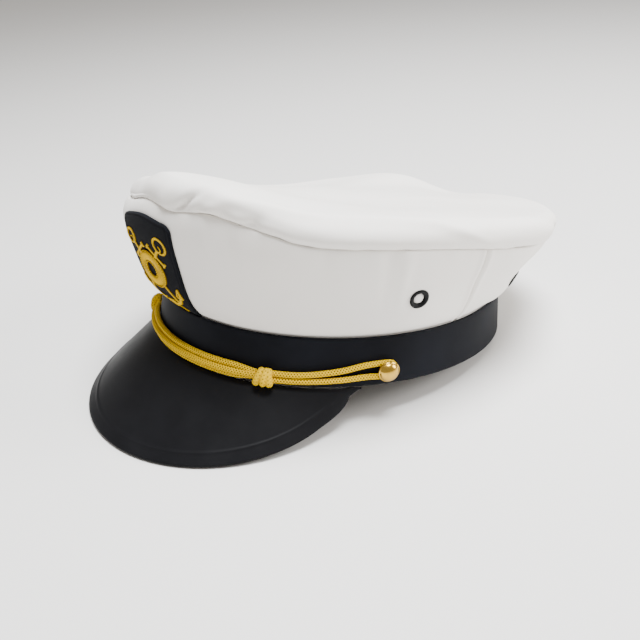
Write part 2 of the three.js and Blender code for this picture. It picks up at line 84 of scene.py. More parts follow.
# angle, flare, rise, roll, overhang of the seam round the crown's top
CROWN_SECTIONS = (
    (-165, 19, 28.5, 9.5, 2.5), (-150, 17, 26, 8, 2.5), (-129, 13.5, 30.5, 11.5, 2.5),
    (-108, 10, 27, 10, 2.5), (-85, 9, 23, 9.4, 2.5), (-60, 10.5, 30, 9.5, 2.2),
    (-40, 12.5, 40, 9.5, 1.5), (-20, 12.5, 46.5, 9, 0.2), (0, 12.5, 54, 10, 0.1),
    (13, 13, 60, 11.5, 0.5), (24, 13.5, 59, 14.5, 1.5), (35, 13, 61.8, 12, 2),
    (46, 12, 58.7, 12, 2.5), (60, 10.5, 52.5, 12, 2.5), (80, 9, 51, 12, 2.5),
    (97, 9, 48.7, 12.8, 2.5), (113, 10.7, 44.6, 13.4, 2.5), (140, 15.5, 38, 13.2, 2.5),
    (172, 19.5, 30.5, 11, 2.5),
)
FLARE, RISE, ROLL, OVERHANG = 1, 2, 3, 4

# The peak's reach and drop at its middle, the powers by which they fade towards its ends, and how
# much it curls down.
PEAK_REACH, PEAK_DROP, PEAK_HALF_ANGLE = 43.0, 36.9, 61.6
PEAK_REACH_POWER, PEAK_DROP_POWER, PEAK_CURL, PEAK_END = 0.88, 0.45, 1.08, 0.01
# Each end of the peak runs out under the band from the first of these angles to the second, down
# to a share of its size, and is drawn out round the band from DRAWN_FROM on.
PEAK_TAIL, TAIL_END = (61.0, 64.4), 0.2
DRAWN_FROM, DRAWN_OVER, DRAWN_SHARE = 54.0, 7.0, 0.025

CORD_RADIUS = 1.55
KNOT_LEFT, KNOT_RIGHT = 38.0, -34.0
KNOT_LENGTH, KNOT_HEIGHT = 9.4, 5.0
BUTTON_ANGLE, BUTTON_HEIGHT, BUTTON_STEM = 73.0, 9.0, 1.5

PATCH_ANGLE, PATCH_HALF_WIDTH, PATCH_HALF_ANGLE = 0.8, 21.5, 12.0
PATCH_HEIGHT, PATCH_THICKNESS, PATCH_CORNER = 56.0, 1.2, 5.0
EMBLEM_UP = 24.8

# name, angle, climb of each vent eyelet
EYELETS = (
    ("side_left", 78.7, 0.46), ("side_right", -78.7, 0.46),
    ("rear_left", 126.0, 0.36), ("rear_right", -126.0, 0.36),
)

# The hat faces -Y and leans back on the lip of its peak and the rear of its band. The record's
# mount, in the middle of the band's lower edge on the wearer's left, says where that edge is and
# how far it leans.
BAND_RIM = frame["record"]["mounts"][0]
LEAN = math.atan2(-BAND_RIM["axis"][1], -BAND_RIM["axis"][2])
TURN = Matrix.Rotation(-LEAN, 4, "X") @ Matrix.Rotation(-math.radians(FRONT_TURN), 4, "Z")
STAND = (
    Matrix.Translation(BAND_RIM["pos_m"]) @ TURN @ Matrix.Scale(1 / PER_METRE, 4)
    @ Matrix.Translation((BAND_WALL / 2 - HALF_WIDTH, 0, 0))
)


def lerp(a, b, t):
    return a + (b - a) * t


def smooth(t):
    """Eases from 0 to 1."""
    t = min(1.0, max(0.0, t))
    return t * t * (3 - 2 * t)


def bump(distance, width):
    """A soft hill, 1 high at its middle."""
    return math.exp(-((distance / width) ** 2))


def beside(angle, middle):
    """Degrees round the oval from a middle angle, -180 to 180."""
    return (angle - middle + 180) % 360 - 180


def ring_spot(angle, radius, level):
    """A place on a drum, where noise closes on itself round the head."""
    a = math.radians(angle)
    return Vector((math.cos(a) * radius, math.sin(a) * radius, level))


@lru_cache(maxsize=None)
def outward(angle):
    a = math.radians(angle)
    return Vector((math.sin(a) / HALF_WIDTH, -math.cos(a) / HALF_LENGTH, 0)).normalized()


def oval(angle, offset, height):
    a = math.radians(angle)
    x = HALF_WIDTH * math.sin(a) * (1 + FRONT_WIDENING * math.cos(a))
    return Vector((x, -HALF_LENGTH * math.cos(a), height)) + outward(angle) * offset


def band_face(angle, height, offset):
    return oval(angle, offset - BAND_LEAN * height / BAND_HEIGHT, height)


@lru_cache(maxsize=None)
def section(column, angle):
    """One column of the crown's table, blended smoothly all the way round."""
    count = len(CROWN_SECTIONS)
    first = CROWN_SECTIONS[0][0]
    here = first + (angle - first) % 360
    index = max(i for i in range(count) if CROWN_SECTIONS[i][0] <= here)

    def row(i):
        turns, i = divmod(i, count)
        return CROWN_SECTIONS[i][0] + 360 * turns, CROWN_SECTIONS[i][column]

    (a0, v0), (a1, v1), (a2, v2), (a3, v3) = (row(index + step) for step in (-1, 0, 1, 2))
    span = a2 - a1
    leave = (v2 - v0) / (a2 - a0) * span
    arrive = (v3 - v1) / (a3 - a1) * span
    t = (here - a1) / span
    return (
        v1 * (1 + 2 * t) * (1 - t) ** 2 + v2 * t * t * (3 - 2 * t)
        + leave * t * (1 - t) ** 2 + arrive * t * t * (t - 1)
    )


def seam_point(angle, offset):
    point = oval(angle, section(FLARE, angle) + offset, BAND_HEIGHT + section(RISE, angle))
    point.x += CROWN_SHIFT
    return point


def wall_point(angle, climb, offset):
    """The crown's wall: climb is 0 at the band's upper edge and 1 at the seam."""
    foot = band_face(angle, BAND_HEIGHT, offset - BAND_WALL - GAP)
    head = seam_point(angle, offset)
    most = lerp(SWELL_SIDE, SWELL_FRONT, max(0, math.cos(math.radians(angle))) ** 2)
    most += FRONT_BULGE * bump(beside(angle, 0), BULGE_SPREAD)
    return foot.lerp(head, climb) + outward(angle) * most * (1 - (2 * climb - 1) ** 4)


@lru_cache(maxsize=None)
def rim_point(angle, turn):
    """The rolled rim of the top: turn is 0 at the seam and 1 on the crest of the roll."""
    start = -math.acos(1 - section(OVERHANG, angle) / RIM_WIDTH)
    roll = lerp(start, math.pi / 2, turn)
    height = section(ROLL, angle) / (1 - math.sin(start))
    rim = seam_point(angle, RIM_WIDTH * (math.cos(roll) - math.cos(start)))
    rim.z += GAP + height * (math.sin(roll) - math.sin(start))
    return rim


def top_point(angle, share):
    """The top panel's outer face: share is 0 at the seam and 1 at the middle."""
    run = max(0.0, (share - ROLL_SHARE) / (1 - ROLL_SHARE))
    rim = rim_point(angle, min(1.0, share / ROLL_SHARE))
    if run == 0:
        return rim.copy()
    blur = TOP_BLUR * run
    height = sum(rim_point(round(angle + blur * s, 2), 1.0).z for s in (-1, -0.5, 0, 0.5, 1)) / 5
    return Vector((
        lerp(rim.x, TOP_CENTRE[0], run),
        lerp(rim.y, TOP_CENTRE[1], run),
        lerp(height, TOP_CENTRE[2], smooth(run)),
    ))


def front_point(across, up, out):
    """A point over the front of the crown, from distances along the cloth."""
    wall_length = (wall_point(FRONT_TURN, 1, 0) - wall_point(FRONT_TURN, 0, 0)).length
    angle = FRONT_TURN + PATCH_ANGLE + PATCH_HALF_ANGLE * across / PATCH_HALF_WIDTH
    return wall_point(angle, up / wall_length, out)


def peak_point(angle, run, depth):
    """The peak: angle is counted from its middle, run is 0 under the band and 1 at the lip, and
    depth is how far below the upper face."""
    fullness = max(PEAK_END, math.cos(math.pi / 2 * min(1, abs(angle) / PEAK_HALF_ANGLE)))
    tail = (PEAK_TAIL[1] - abs(angle)) / (PEAK_TAIL[1] - PEAK_TAIL[0])
    tail = min(1.0, max(TAIL_END, tail))
    reach = PEAK_REACH * fullness ** PEAK_REACH_POWER * tail
    drop = PEAK_DROP * fullness ** PEAK_DROP_POWER * tail
    depth *= 0.3 + 0.7 * tail
    steepness = PEAK_CURL * drop * max(run, 1e-4) ** (PEAK_CURL - 1)
    slope = math.hypot(steepness, reach)
    offset = GAP + reach * run - depth * steepness / slope
    height = -GAP - drop * run ** PEAK_CURL - depth * reach / slope
    angle *= 1 + DRAWN_SHARE * smooth((abs(angle) - DRAWN_FROM) / DRAWN_OVER)
    return oval(FRONT_TURN + angle, offset, height)


# ------------------------------------------------------------------------------------------------
# Ways of making and finishing a mesh.
# ------------------------------------------------------------------------------------------------
def finish_piece(name, bm, material, replaced=(), smooth_faces=True):
    """Stands a mesh made in the hat's frame where the hat stands, and parents it to the root body.
    """
    bmesh.ops.transform(bm, matrix=STAND, verts=bm.verts)
    for face in bm.faces:
        face.smooth = smooth_faces
    mesh = bpy.data.meshes.new(name)
    bm.to_mesh(mesh)
    bm.free()
    piece = bpy.data.objects.new(name, mesh)
    bpy.context.scene.collection.objects.link(piece)
    piece.data.materials.append(material)
    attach(piece, "root")
    if replaced:
        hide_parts(*replaced)
    return piece


def new_mesh():
    """An empty mesh with a depth value per vertex, from which materials paint shade and
    highlights.
    """
    bm = bmesh.new()
    bm.verts.layers.float.new("depth")
    return bm


def grid(columns, rows):
    """A flat grid, and its vertices by column and row."""
    bm = new_mesh()
    bmesh.ops.create_grid(bm, x_segments=columns, y_segments=rows, size=0.5)
    table = {}
    for vert in bm.verts:
        table[round((vert.co.x + 0.5) * columns), round((vert.co.y + 0.5) * rows)] = vert
    return bm, table


def join(bm, part):
    """Moves one mesh in the making into another."""
    kept = bpy.data.meshes.new("part")
    part.to_mesh(kept)
    part.free()
    bm.from_mesh(kept)
    bpy.data.meshes.remove(kept)


def boundary(bm):
    return [e for e in bm.edges if e.is_boundary]


def ladder(length, step, first, last):
    """Steps across a piece of cloth whose two edges are turned in: (position, drop) pairs."""
    inner = [(x, 0.0) for x in (first[-1][0] + i * step for i in range(1, int(length / step)))
             if x < length - last[-1][0] - step / 2]
    return [*first, *inner, *((length - x, drop) for x, drop in reversed(last))]


def cut_hole(bm, centre, radius):
    """Cuts a round hole through a sheet of faces."""
    near = [f for f in bm.faces if (f.calc_center_median() - centre).length < radius]
    bmesh.ops.delete(bm, geom=near, context="FACES")
    rim = [e for e in boundary(bm) if all((v.co - centre).length < radius * 1.8 for v in e.verts)]
    for vert in {v for e in rim for v in e.verts}:
        vert.co = centre + (vert.co - centre).normalized() * radius


def two_sides(columns, rows, place, holes=()):
    """The outer side (0) and the inner side (1) of a cloth in one mesh. place gives the point and
    the flat coordinate of a column and row; holes are (outer centre, inner centre, radius)."""
    sides = []
    for side in (0, 1):
        bm, table = grid(columns, rows)
        layer = bm.loops.layers.uv.verify()
        flat = {}
        for (column, row), vert in table.items():
            vert.co, flat[vert] = place(column, row, side)
        for face in bm.faces:
            for loop in face.loops:
                loop[layer].uv = flat[loop.vert]
        if side:
            bmesh.ops.reverse_faces(bm, faces=bm.faces)
        for hole in holes:
            cut_hole(bm, hole[side], hole[2])
        sides.append(bm)
    join(*sides)
    return sides[0]


def closed_shell(columns, rows, place, merge):
    """Two sheets that are closed all along their borders. place gives the point of a column and
    row on the outer side (0) or the inner side (1)."""
    sides = []
    for side in (0, 1):
        bm, table = grid(columns, rows)
        for (column, row), vert in table.items():
            vert.co = place(column, row, side)
        sides.append(bm)
    join(*sides)
    bm = sides[0]
    bmesh.ops.bridge_loops(bm, edges=boundary(bm))
    bmesh.ops.remove_doubles(bm, verts=bm.verts, dist=merge)
    bmesh.ops.recalc_face_normals(bm, faces=bm.faces)
    return bm


def spun(profile, segments):
    """A closed section of (radius, height) corners spun right round."""
    bm = bmesh.new()
    verts = [bm.verts.new((r, 0, h)) for r, h in profile]
    edges = [bm.edges.new(pair) for pair in zip(verts, verts[1:])]
    bmesh.ops.spin(bm, geom=[*verts, *edges], cent=(0, 0, 0), axis=UP, dvec=(0, 0, 0),
                   angle=math.tau, steps=segments, use_merge=True)
    bmesh.ops.remove_doubles(bm, verts=bm.verts, dist=1e-4)
    bmesh.ops.recalc_face_normals(bm, faces=bm.faces)
    return bm


def spun_on(profile, segments, point, normal):
    """A spun section that stands on a point, with its axis along a normal."""
    bm = spun(profile, segments)
    turn = UP.rotation_difference(normal).to_matrix().to_4x4()
    bmesh.ops.transform(bm, matrix=Matrix.Translation(point) @ turn, verts=bm.verts)
    return bm


# ------------------------------------------------------------------------------------------------
# Materials.
# ------------------------------------------------------------------------------------------------
class Nodes:
    """Short ways of adding nodes to a tree."""

    def __init__(self, tree):
        self.tree = tree

    def feed(self, socket, value):
        """Links a node's output to a socket, or sets the socket to a plain value."""
        if isinstance(value, bpy.types.NodeSocket):
            self.tree.links.new(value, socket)
        else:
            socket.default_value = value

    def add(self, kind, values=None, **settings):
        node = self.tree.nodes.new("ShaderNode" + kind)
        for key, value in settings.items():
            setattr(node, key, value)
        for key, value in (values or {}).items():
            self.feed(node.inputs[key], value)
        return node

    def math(self, operation, *values):
        return self.add("Math", dict(enumerate(values)), operation=operation).outputs[0]

    def times(self, a, b):
        return self.math("MULTIPLY", a, b)

    def plus(self, a, b):
        return self.math("ADD", a, b)

    def scaled(self, value, factor, start):
        return self.math("MULTIPLY_ADD", value, factor, start)

    def wave(self, phase):
        return self.math("SINE", self.times(phase, math.pi))

    def ramp(self, fac, low, high):
        return self.add("MapRange", {0: fac, 1: low, 2: high, 3: 0.0, 4: 1.0},
                        interpolation_type="SMOOTHSTEP").outputs[0]

    def mix(self, fac, a, b):
        return self.add("Mix", {0: fac, 6: a, 7: b}, data_type="RGBA").outputs[2]

    def noise(self, place, scale, detail, roughness=0.5, distortion=0.0):
        values = {"Vector": place, "Scale": scale, "Detail": detail, "Roughness": roughness,
                  "Distortion": distortion}
        return self.add("TexNoise", values).outputs[0]

    def place(self):
        return self.add("TexCoord").outputs["Object"]

    def group(self, name, **values):
        values = {label.replace("_", " "): value for label, value in values.items()}
        return self.add("Group", values, node_tree=bpy.data.node_groups[name]).outputs

    def mottle(self, broad, fine):
        return self.group("Mottle", Vector=self.place(), Broad_scale=broad, Fine_scale=fine)

    def weave(self, threads, slope=0.0):
        flat = self.add("UVMap", uv_map="UVMap").outputs[0]
        return self.group("Woven threads", Vector=flat, Threads_per_metre=threads,
                          Twill_slope=slope)


class Surface(Nodes):
    """A new material, with the uniform values of its shader."""

    def __init__(self, name, **uniform):
        self.material = bpy.data.materials.new(name)
        self.material.use_nodes = True
        super().__init__(self.material.node_tree)
        self.inputs = self.tree.nodes["Principled BSDF"].inputs
        for label, value in uniform.items():
            self.inputs[label.replace("_", " ")].default_value = value

    def finish(self, tone, rough, height=None, strength=0.0, distance=0.0):
        """Feeds the shader its colour, its roughness and its low relief."""
        self.feed(self.inputs["Base Color"], tone)
        self.feed(self.inputs["Roughness"], rough)
        if height is not None:
            relief = self.add("Bump", {"Height": height, "Strength": strength,
                                       "Distance": distance})
            self.feed(self.inputs["Normal"], relief.outputs[0])
        return self.material


def colour(value):
    return (*value[:3], 1.0)


def shade(base, *factors, lift=0.0):
    """A colour times one factor, or times one for each channel, plus a lift."""
    if len(factors) == 1:
        factors *= 3
    return colour([c * k + lift for c, k in zip(base, factors)])


def new_group(name, inputs, outputs):
    """A node group: inputs are (label, default) rows, and outputs are labels."""
    tree = bpy.data.node_groups.new(name, "ShaderNodeTree")
    tree.interface.new_socket("Vector", in_out="INPUT", socket_type="NodeSocketVector")
    for label, default in inputs:
        socket = tree.interface.new_socket(label, in_out="INPUT", socket_type="NodeSocketFloat")
        socket.default_value = default
    for label in outputs:
        tree.interface.new_socket(label, in_out="OUTPUT", socket_type="NodeSocketFloat")
    source = tree.nodes.new("NodeGroupInput")
    result = tree.nodes.new("NodeGroupOutput")
    return Nodes(tree), source.outputs, result.inputs


def woven_group():
    """Woven cloth: over-and-under threads with slubs, from a flat coordinate in metres."""
    n, source, result = new_group(
        "Woven threads", [("Threads per metre", 1800.0), ("Twill slope", 0.0)],
        ["Height", "Thread", "Slub"])
    parts = n.add("SeparateXYZ", {0: source["Vector"]}).outputs
    x, y = (n.times(parts[i], source["Threads per metre"]) for i in (0, 1))
    warp = n.math("ABSOLUTE", n.wave(n.plus(x, n.times(y, source["Twill slope"]))))
    weft = n.math("ABSOLUTE", n.wave(y))
    share = n.scaled(n.wave(n.plus(x, y)), 0.5, 0.5)
    height = n.math("MAXIMUM", n.times(warp, share),
                    n.times(weft, n.math("SUBTRACT", 1.0, share)))
    n.feed(result["Height"], height)
    # Thread is 1 on the threads' backs and 0 in the hollows between them, where the cloth
    # materials paint shade.
    n.feed(result["Thread"], n.ramp(height, 0.1, 0.7))
    n.feed(result["Slub"], n.noise(source["Vector"], 260.0, 3.0))


def mottle_group():
    """Slow and fine changes of shade, as handling and age leave them."""
    n, source, result = new_group("Mottle", [("Broad scale", 18.0), ("Fine scale", 400.0)],
                                  ["Broad", "Fine"])
    broad = n.noise(source["Vector"], source["Broad scale"], 3.0, roughness=0.55)
    n.feed(result["Broad"], n.ramp(broad, 0.3, 0.7))
    n.feed(result["Fine"], n.noise(source["Vector"], source["Fine scale"], 4.0, roughness=0.6))


def crown_cloth_material(settings):
    n = Surface("Crown cloth", Sheen_Weight=0.12, Sheen_Roughness=0.45, Specular_IOR_Level=0.2)
    weave, wear = n.weave(2100.0), n.mottle(22.0, 500.0)
    base = colour(settings.cloth_colour)
    tone = n.mix(n.times(wear["Broad"], 0.55), base, shade(base, 0.965, 0.95, 0.925))
    # Painted shade: the cloth is a little darker in the hollows between its threads.
    hollow_shade = n.times(n.math("SUBTRACT", 1.0, weave["Thread"]), 0.5)
    tone = n.mix(hollow_shade, tone, shade(base, 0.955, 0.95, 0.94))
    height = n.plus(weave["Height"], n.times(weave["Slub"], 0.7))
    return n.finish(tone, n.scaled(weave["Slub"], 0.14, 0.74), height, 0.35, 0.00012)


def band_cloth_material(settings):
    n = Surface("Band cloth", Sheen_Weight=0.01, Sheen_Roughness=0.4, Specular_IOR_Level=0.07)
    weave, wear = n.weave(1500.0, slope=1.0), n.mottle(30.0, 700.0)
    base = colour(settings.band_colour)
    # Painted shade: the cloth is half as bright in the hollows between its threads.
    tone = n.mix(weave["Thread"], shade(base, 0.5), base)
    tone = n.mix(n.times(wear["Broad"], 0.3), tone, shade(base, 1.5, lift=0.001))
    rough = n.scaled(weave["Slub"], 0.2, 0.55)
    return n.finish(tone, rough, weave["Height"], 0.4, 0.00015)


def peak_material(settings):
    n = Surface("Moulded peak", Specular_IOR_Level=0.05)
    wear = n.mottle(35.0, 900.0)
    base = colour(settings.peak_colour)
    tone = n.mix(n.times(wear["Broad"], 0.35), base, shade(base, 1.6, lift=0.002))
    rough = n.plus(n.scaled(wear["Broad"], 0.07, 0.33), n.times(wear["Fine"], 0.08))
    grain = n.add("TexVoronoi", {"Vector": n.place(), "Scale": 1400.0}).outputs["Distance"]
    return n.finish(tone, rough, grain, 0.12, 0.00006)


def felt_material(settings):
    n = Surface("Badge felt", Sheen_Weight=0.02, Sheen_Roughness=0.6, Specular_IOR_Level=0.06)
    fibres = n.noise(n.place(), 2600.0, 4.0, roughness=0.7, distortion=1.2)
    clumps = n.noise(n.place(), 420.0, 2.0)
    base = colour(settings.felt_colour)
    tone = n.mix(n.ramp(fibres, 0.4, 0.75), base, shade(base, 2.1, lift=0.001))
    height = n.plus(fibres, n.times(clumps, 0.6))
    return n.finish(tone, n.scaled(clumps, 0.1, 0.85), height, 0.6, 0.00025)


def thread_material(name, base, dark, bright):
    """Lustrous thread: painted shade between strands and painted highlights on their backs."""
    n = Surface(name, Specular_IOR_Level=0.05)
    depth = n.add("Attribute", attribute_name="depth").outputs["Fac"]
    wear = n.mottle(60.0, 1500.0)
    # The dark colour is painted shade deep between the strands, and the bright one a painted
    # highlight on their backs.
    tone = n.mix(n.ramp(depth, 0.18, 0.66), colour(dark), colour(base))
    tone = n.mix(n.times(n.ramp(depth, 0.7, 1.0), 0.5), tone, colour(bright))
    tone = n.mix(n.times(wear["Broad"], 0.25), tone, shade(base, 0.85))
    return n.finish(tone, n.scaled(wear["Fine"], 0.2, 0.4), wear["Fine"], 0.25, 0.0001)


def brass_material(settings):
    n = Surface("Button metal", Metallic=1.0, Coat_Weight=0.2, Coat_Roughness=0.1)
    wear = n.mottle(220.0, 2500.0)
    base = colour(settings.button_colour)
    tone = n.mix(n.times(wear["Broad"], 0.5), base, shade(base, 0.78, 0.72, 0.62))
    rough = n.plus(n.scaled(wear["Broad"], 0.1, 0.14), n.times(wear["Fine"], 0.06))
    return n.finish(tone, rough, wear["Fine"], 0.08, 0.00005)


def eyelet_material(settings):
    n = Surface("Eyelet enamel", Specular_IOR_Level=0.1)
    wear = n.mottle(300.0, 2500.0)
    base = colour(settings.eyelet_colour)
    worn = n.times(n.ramp(wear["Broad"], 0.6, 1.0), 0.5)
    tone = n.mix(worn, base, shade(base, 1.6, lift=0.002))
    return n.finish(tone, n.scaled(wear["Fine"], 0.2, 0.25))


def floor_material(settings):
    n = Surface("Pale floor", Specular_IOR_Level=0.2)
    base = colour(settings.floor_colour)
    tone = n.mix(n.times(n.mottle(2.0, 60.0)["Broad"], 0.25), base, shade(base, 0.985))
    return n.finish(tone, 0.75)


# ------------------------------------------------------------------------------------------------
# Settings that a user would change.
# ------------------------------------------------------------------------------------------------
def tint(name, description, default):
    return bpy.props.FloatVectorProperty(name=name, description=description, default=default,
                                         size=3, min=0, max=1, subtype="COLOR")


def metres(name, description, default, least, most):
    return bpy.props.FloatProperty(name=name, description=description, default=default,
                                   min=least, max=most, unit="LENGTH")


class CrownSettings(bpy.types.PropertyGroup):
    cloth_thickness: metres("Cloth thickness", "Thickness of the crown's cloth",
                            0.0012, 0.0005, 0.003)
    mesh_step: metres("Mesh step", "Distance between the cloth's vertices", 0.0011, 0.0005, 0.005)
    fold_depth: bpy.props.FloatProperty(
        name="Fold depth", description="Share of the soft folds' full depth", default=1.0, min=0,
        max=2, subtype="FACTOR")
    cloth_colour: tint("Cloth colour", "Colour of the white cotton", (0.85, 0.82, 0.78))


class BandSettings(bpy.types.PropertyGroup):
    band_colour: tint("Band colour", "Colour of the band's cloth", (0.0066, 0.0076, 0.0114))
    peak_colour: tint("Peak colour", "Colour of the moulded peak", (0.0060, 0.0060, 0.0068))
    peak_thickness: metres("Peak thickness", "Thickness of the peak", 0.0018, 0.001, 0.004)
    line_inset: metres("Raised line inset", "Distance of the peak's raised line from its lip",
                       0.0068, 0.003, 0.015)


class BadgeSettings(bpy.types.PropertyGroup):
    felt_colour: tint("Felt colour", "Colour of the felt patch", (0.0032, 0.0036, 0.0052))
    thread_colour: tint("Thread colour", "Colour of the embroidery", (0.80, 0.50, 0.002))
    stitch_pitch: metres("Stitch pitch", "Distance from one satin stitch to the next",
                         0.00048, 0.0003, 0.001)


class TrimSettings(bpy.types.PropertyGroup):
    cord_colour: tint("Cord colour", "Colour of the braided cord", (0.67, 0.415, 0.0007))
    braid_pitch: metres("Braid pitch", "Length of one crossing of the braid",
                        0.00075, 0.0005, 0.004)
    button_colour: tint("Button colour", "Colour of the polished buttons", (0.58, 0.36, 0.05))
    eyelet_colour: tint("Eyelet colour", "Colour of the eyelets' enamel",
                        (0.0035, 0.0035, 0.0038))


class StageSettings(bpy.types.PropertyGroup):
    floor_colour: tint("Floor colour", "Colour of the floor", (0.735, 0.72, 0.70))
    key_power: bpy.props.FloatProperty(
        name="Key light", description="Power of the soft key light", default=50.0, min=0,
        max=100, unit="POWER")
    sky_strength: bpy.props.FloatProperty(
        name="Sky strength", description="Strength of the plain surroundings", default=0.57,
        min=0, max=5)


# ------------------------------------------------------------------------------------------------
# Crown.
# ------------------------------------------------------------------------------------------------
# How a sewn edge is turned in: distance from the seam, and drop below the face as a share of the
# cloth's thickness. The front seam is pressed flat.
TURNED_EDGE = ((0.1, 1.0), (0.18, 0.72), (0.4, 0.38), (0.72, 0.13), (1.15, 0.0))
PRESSED_EDGE = ((0.01, 1.0), (0.02, 0.08), (0.2, 0.03), (0.6, 0.0), (1.05, 0.0))
# Beside a turned seam the cloth dips and then rises: middle, half width and lift of each.
SEAM_RELIEF = ((0.0, 0.75, -1.1), (2.2, 1.2, 0.7))
CLOTH_HEIGHT = 52.0

# Long soft folds of the wall: angle and climb of each end, width and depth.
WALL_FOLDS = (
    (84.5, 0.97, 85.5, 0.40, 3.2, 0.75), (80, 0.95, 81, 0.42, 3.4, -0.6),
    (66, 1.0, 62, 0.5, 8.0, -0.35), (52, 1.0, 50, 0.5, 7.0, 0.35),
    (40, 1.0, 43, 0.6, 4.0, -0.6), (33, 1.0, 36, 0.6, 4.0, 0.4),
    (-17, 1.1, -17, -0.2, 20.0, 2.2), (-42, 1.0, -48, 0.4, 6.0, -0.5),
    (-70, 1.0, -66, 0.5, 6.0, 0.6), (-98, 1.0, -92, 0.45, 7.0, -0.5),
    (135, 1.0, 130, 0.5, 7.0, -0.6), (160, 1.0, 168, 0.4, 8.0, 0.7),
    (-150, 1.0, -143, 0.4, 7.0, -0.7), (-170, 1.0, -176, 0.5, 6.0, 0.5),
)

# Where the cloth bags out over the band: angle, half width in degrees, climb, half height, lift.
WALL_BAGS = (
    (92, 15, 0.22, 0.25, 4.0), (131, 9, 0.17, 0.17, 2.4), (147, 10, 0.17, 0.17, 2.6),
    (166, 12, 0.17, 0.17, 2.0), (-165, 14, 0.17, 0.17, 1.4), (-128, 12, 0.17, 0.17, 1.5),
)


# Heights of the cloth's broad waves, its ripples and the puckers along its seams.
WALL_WAVES, WALL_RIPPLES, WALL_PUCKERS = 0.9, 0.35, 0.5
TOP_WAVES, TOP_RIPPLES, TOP_PUCKERS = 1.1, 0.5, 0.4


def fold_relief(folds, angle, climb):
    """Outward lift of a list of folds, each a line with a soft cross-section."""
    lift = 0.0
    for angle_a, climb_a, angle_b, climb_b, width, depth in folds:
        run = (climb - climb_a) / (climb_b - climb_a)
        if not -0.3 < run < 1.3:
            continue
        line = lerp(angle_a, angle_b, run)
        distance = math.radians(beside(angle, line)) * MEAN_RADIUS
        lift += depth * bump(distance, width * (1 - 0.35 * run)) * smooth(1.3 - run)
    return lift


def wall_relief(angle, climb, scale):
    """Waves, puckers, bags and folds of the wall, none of them under the badge."""
    ring = ring_spot(angle, 2.2, climb * 1.2)
    lift = noise.noise(ring) * WALL_WAVES
    lift += noise.noise(ring * 2.7 + Vector((7, 3, 1))) * WALL_RIPPLES
    pucker = noise.noise(ring_spot(angle, 16, climb * 1.4)) * WALL_PUCKERS
    lift += pucker * (bump(1 - climb, 0.16) + 0.5 * bump(climb, 0.14))
    for middle, spread, level, reach, out in WALL_BAGS:
        lift += out * bump(beside(angle, middle), spread) * bump(climb - level, reach)
    bare = smooth((abs(beside(angle, FRONT_TURN + PATCH_ANGLE)) - PATCH_HALF_ANGLE - 1.5) / 8)
    lift = lift * smooth(climb / 0.12) + fold_relief(WALL_FOLDS, angle, climb)
    return lift * bare * scale


def cloth_point(angle, climb, scale):
    return wall_point(angle, climb, wall_relief(angle, climb, scale))


def cloth_normal(angle, climb, scale):
    along = cloth_point(angle + 1.5, climb, scale) - cloth_point(angle - 1.5, climb, scale)
    up = cloth_point(angle, climb + 0.05, scale) - cloth_point(angle, climb - 0.05, scale)
    return along.cross(up).normalized()


def crown_panel(name, low, high, eyelets, cloth, settings):
    """One panel of the crown's wall. low and high give the angles of its two seams at the band
    and at the top."""
    edges = [PRESSED_EDGE if seam[0] == seam[1] else TURNED_EDGE for seam in (low, high)]
    step = settings.mesh_step * PER_METRE
    thickness = settings.cloth_thickness * PER_METRE
    height = CLOTH_HEIGHT
    width = math.radians(high[0] - low[0]) * MEAN_RADIUS
    across = [(x, d * thickness) for x, d in ladder(width, step, *edges)]
    top_edge = [(x, d * thickness) for x, d in TURNED_EDGE]
    up = [(-CROWN_TUCK, thickness), (-CROWN_TUCK, 0.0), (-3.0, 0.0), (-1.0, 0.0)]
    up += [(i * step, 0.0) for i in range(int((height - 1.2) / step))]
    up += [(height - y, d) for y, d in reversed(top_edge)]

    def place(u, v, drop, side):
        climb = max(0.0, v / height)
        share = u / width
        angle = round(lerp(lerp(low[0], low[1], climb), lerp(high[0], high[1], climb), share), 3)
        inward = thickness if side else drop
        if v < 0:
            return band_face(angle, BAND_HEIGHT + v, -BAND_WALL - GAP - inward)
        lift = wall_relief(angle, climb, settings.fold_depth) if v > 0 else 0.0
        for away, edge in zip((u, width - u), edges):
            if edge is TURNED_EDGE:
                lift += sum(out * bump(away - middle, half) for middle, half, out in SEAM_RELIEF)
        return wall_point(angle, climb, lift - inward)

    def cell(column, row, side):
        (u, drop_u), (v, drop_v) = across[column], up[row]
        # Each panel is cut from another place of the cloth.
        cut = (low[0] + high[0]) / 2 / 100
        flat = (u - width / 2) / PER_METRE + cut, v / PER_METRE
        return place(u, v, max(drop_u, drop_v), side), flat

    holes = []
    for _, turn, climb in (e for e in EYELETS if e[0] in eyelets):
        spot = FRONT_TURN + turn, climb, settings.fold_depth
        outer = cloth_point(*spot)
        holes.append((outer, outer - cloth_normal(*spot) * thickness, EYELET_CUT))
    bm = two_sides(len(across) - 1, len(up) - 1, cell, holes)
    bmesh.ops.remove_doubles(bm, verts=bm.verts, dist=0.001)
    for centre, _, radius in holes:
        rims = [e for e in boundary(bm) if (e.verts[0].co - centre).length < radius * 2.2]
        bmesh.ops.bridge_loops(bm, edges=rims)
    finish_piece(f"crown_{name}_cloth", bm, cloth, [f"crown_{name}_panel"])


class HAT_OT_crown_wall(bpy.types.Operator):
    """Sews the three panels of the crown's wall, with their turned seams and vent holes"""
    bl_idname = "hat.crown_wall"
    bl_label = "Crown wall"

    def execute(self, context):
        settings = context.scene.hat_crown
        cloth = crown_cloth_material(settings)
        front = (FRONT_TURN, FRONT_TURN)
        left, right, round_to_right = (
            (FRONT_TURN + turns + side * REAR_SEAM_LOW, FRONT_TURN + turns + side * REAR_SEAM_HIGH)
            for side, turns in ((1, 0), (-1, 0), (-1, 360)))
        for name, low, high, eyelets in (
                ("left", front, left, ["side_left"]), ("right", right, front, ["side_right"]),
                ("back", left, round_to_right, ["rear_left", "rear_right"])):
            crown_panel(name, low, high, eyelets, cloth, settings)
        return {"FINISHED"}


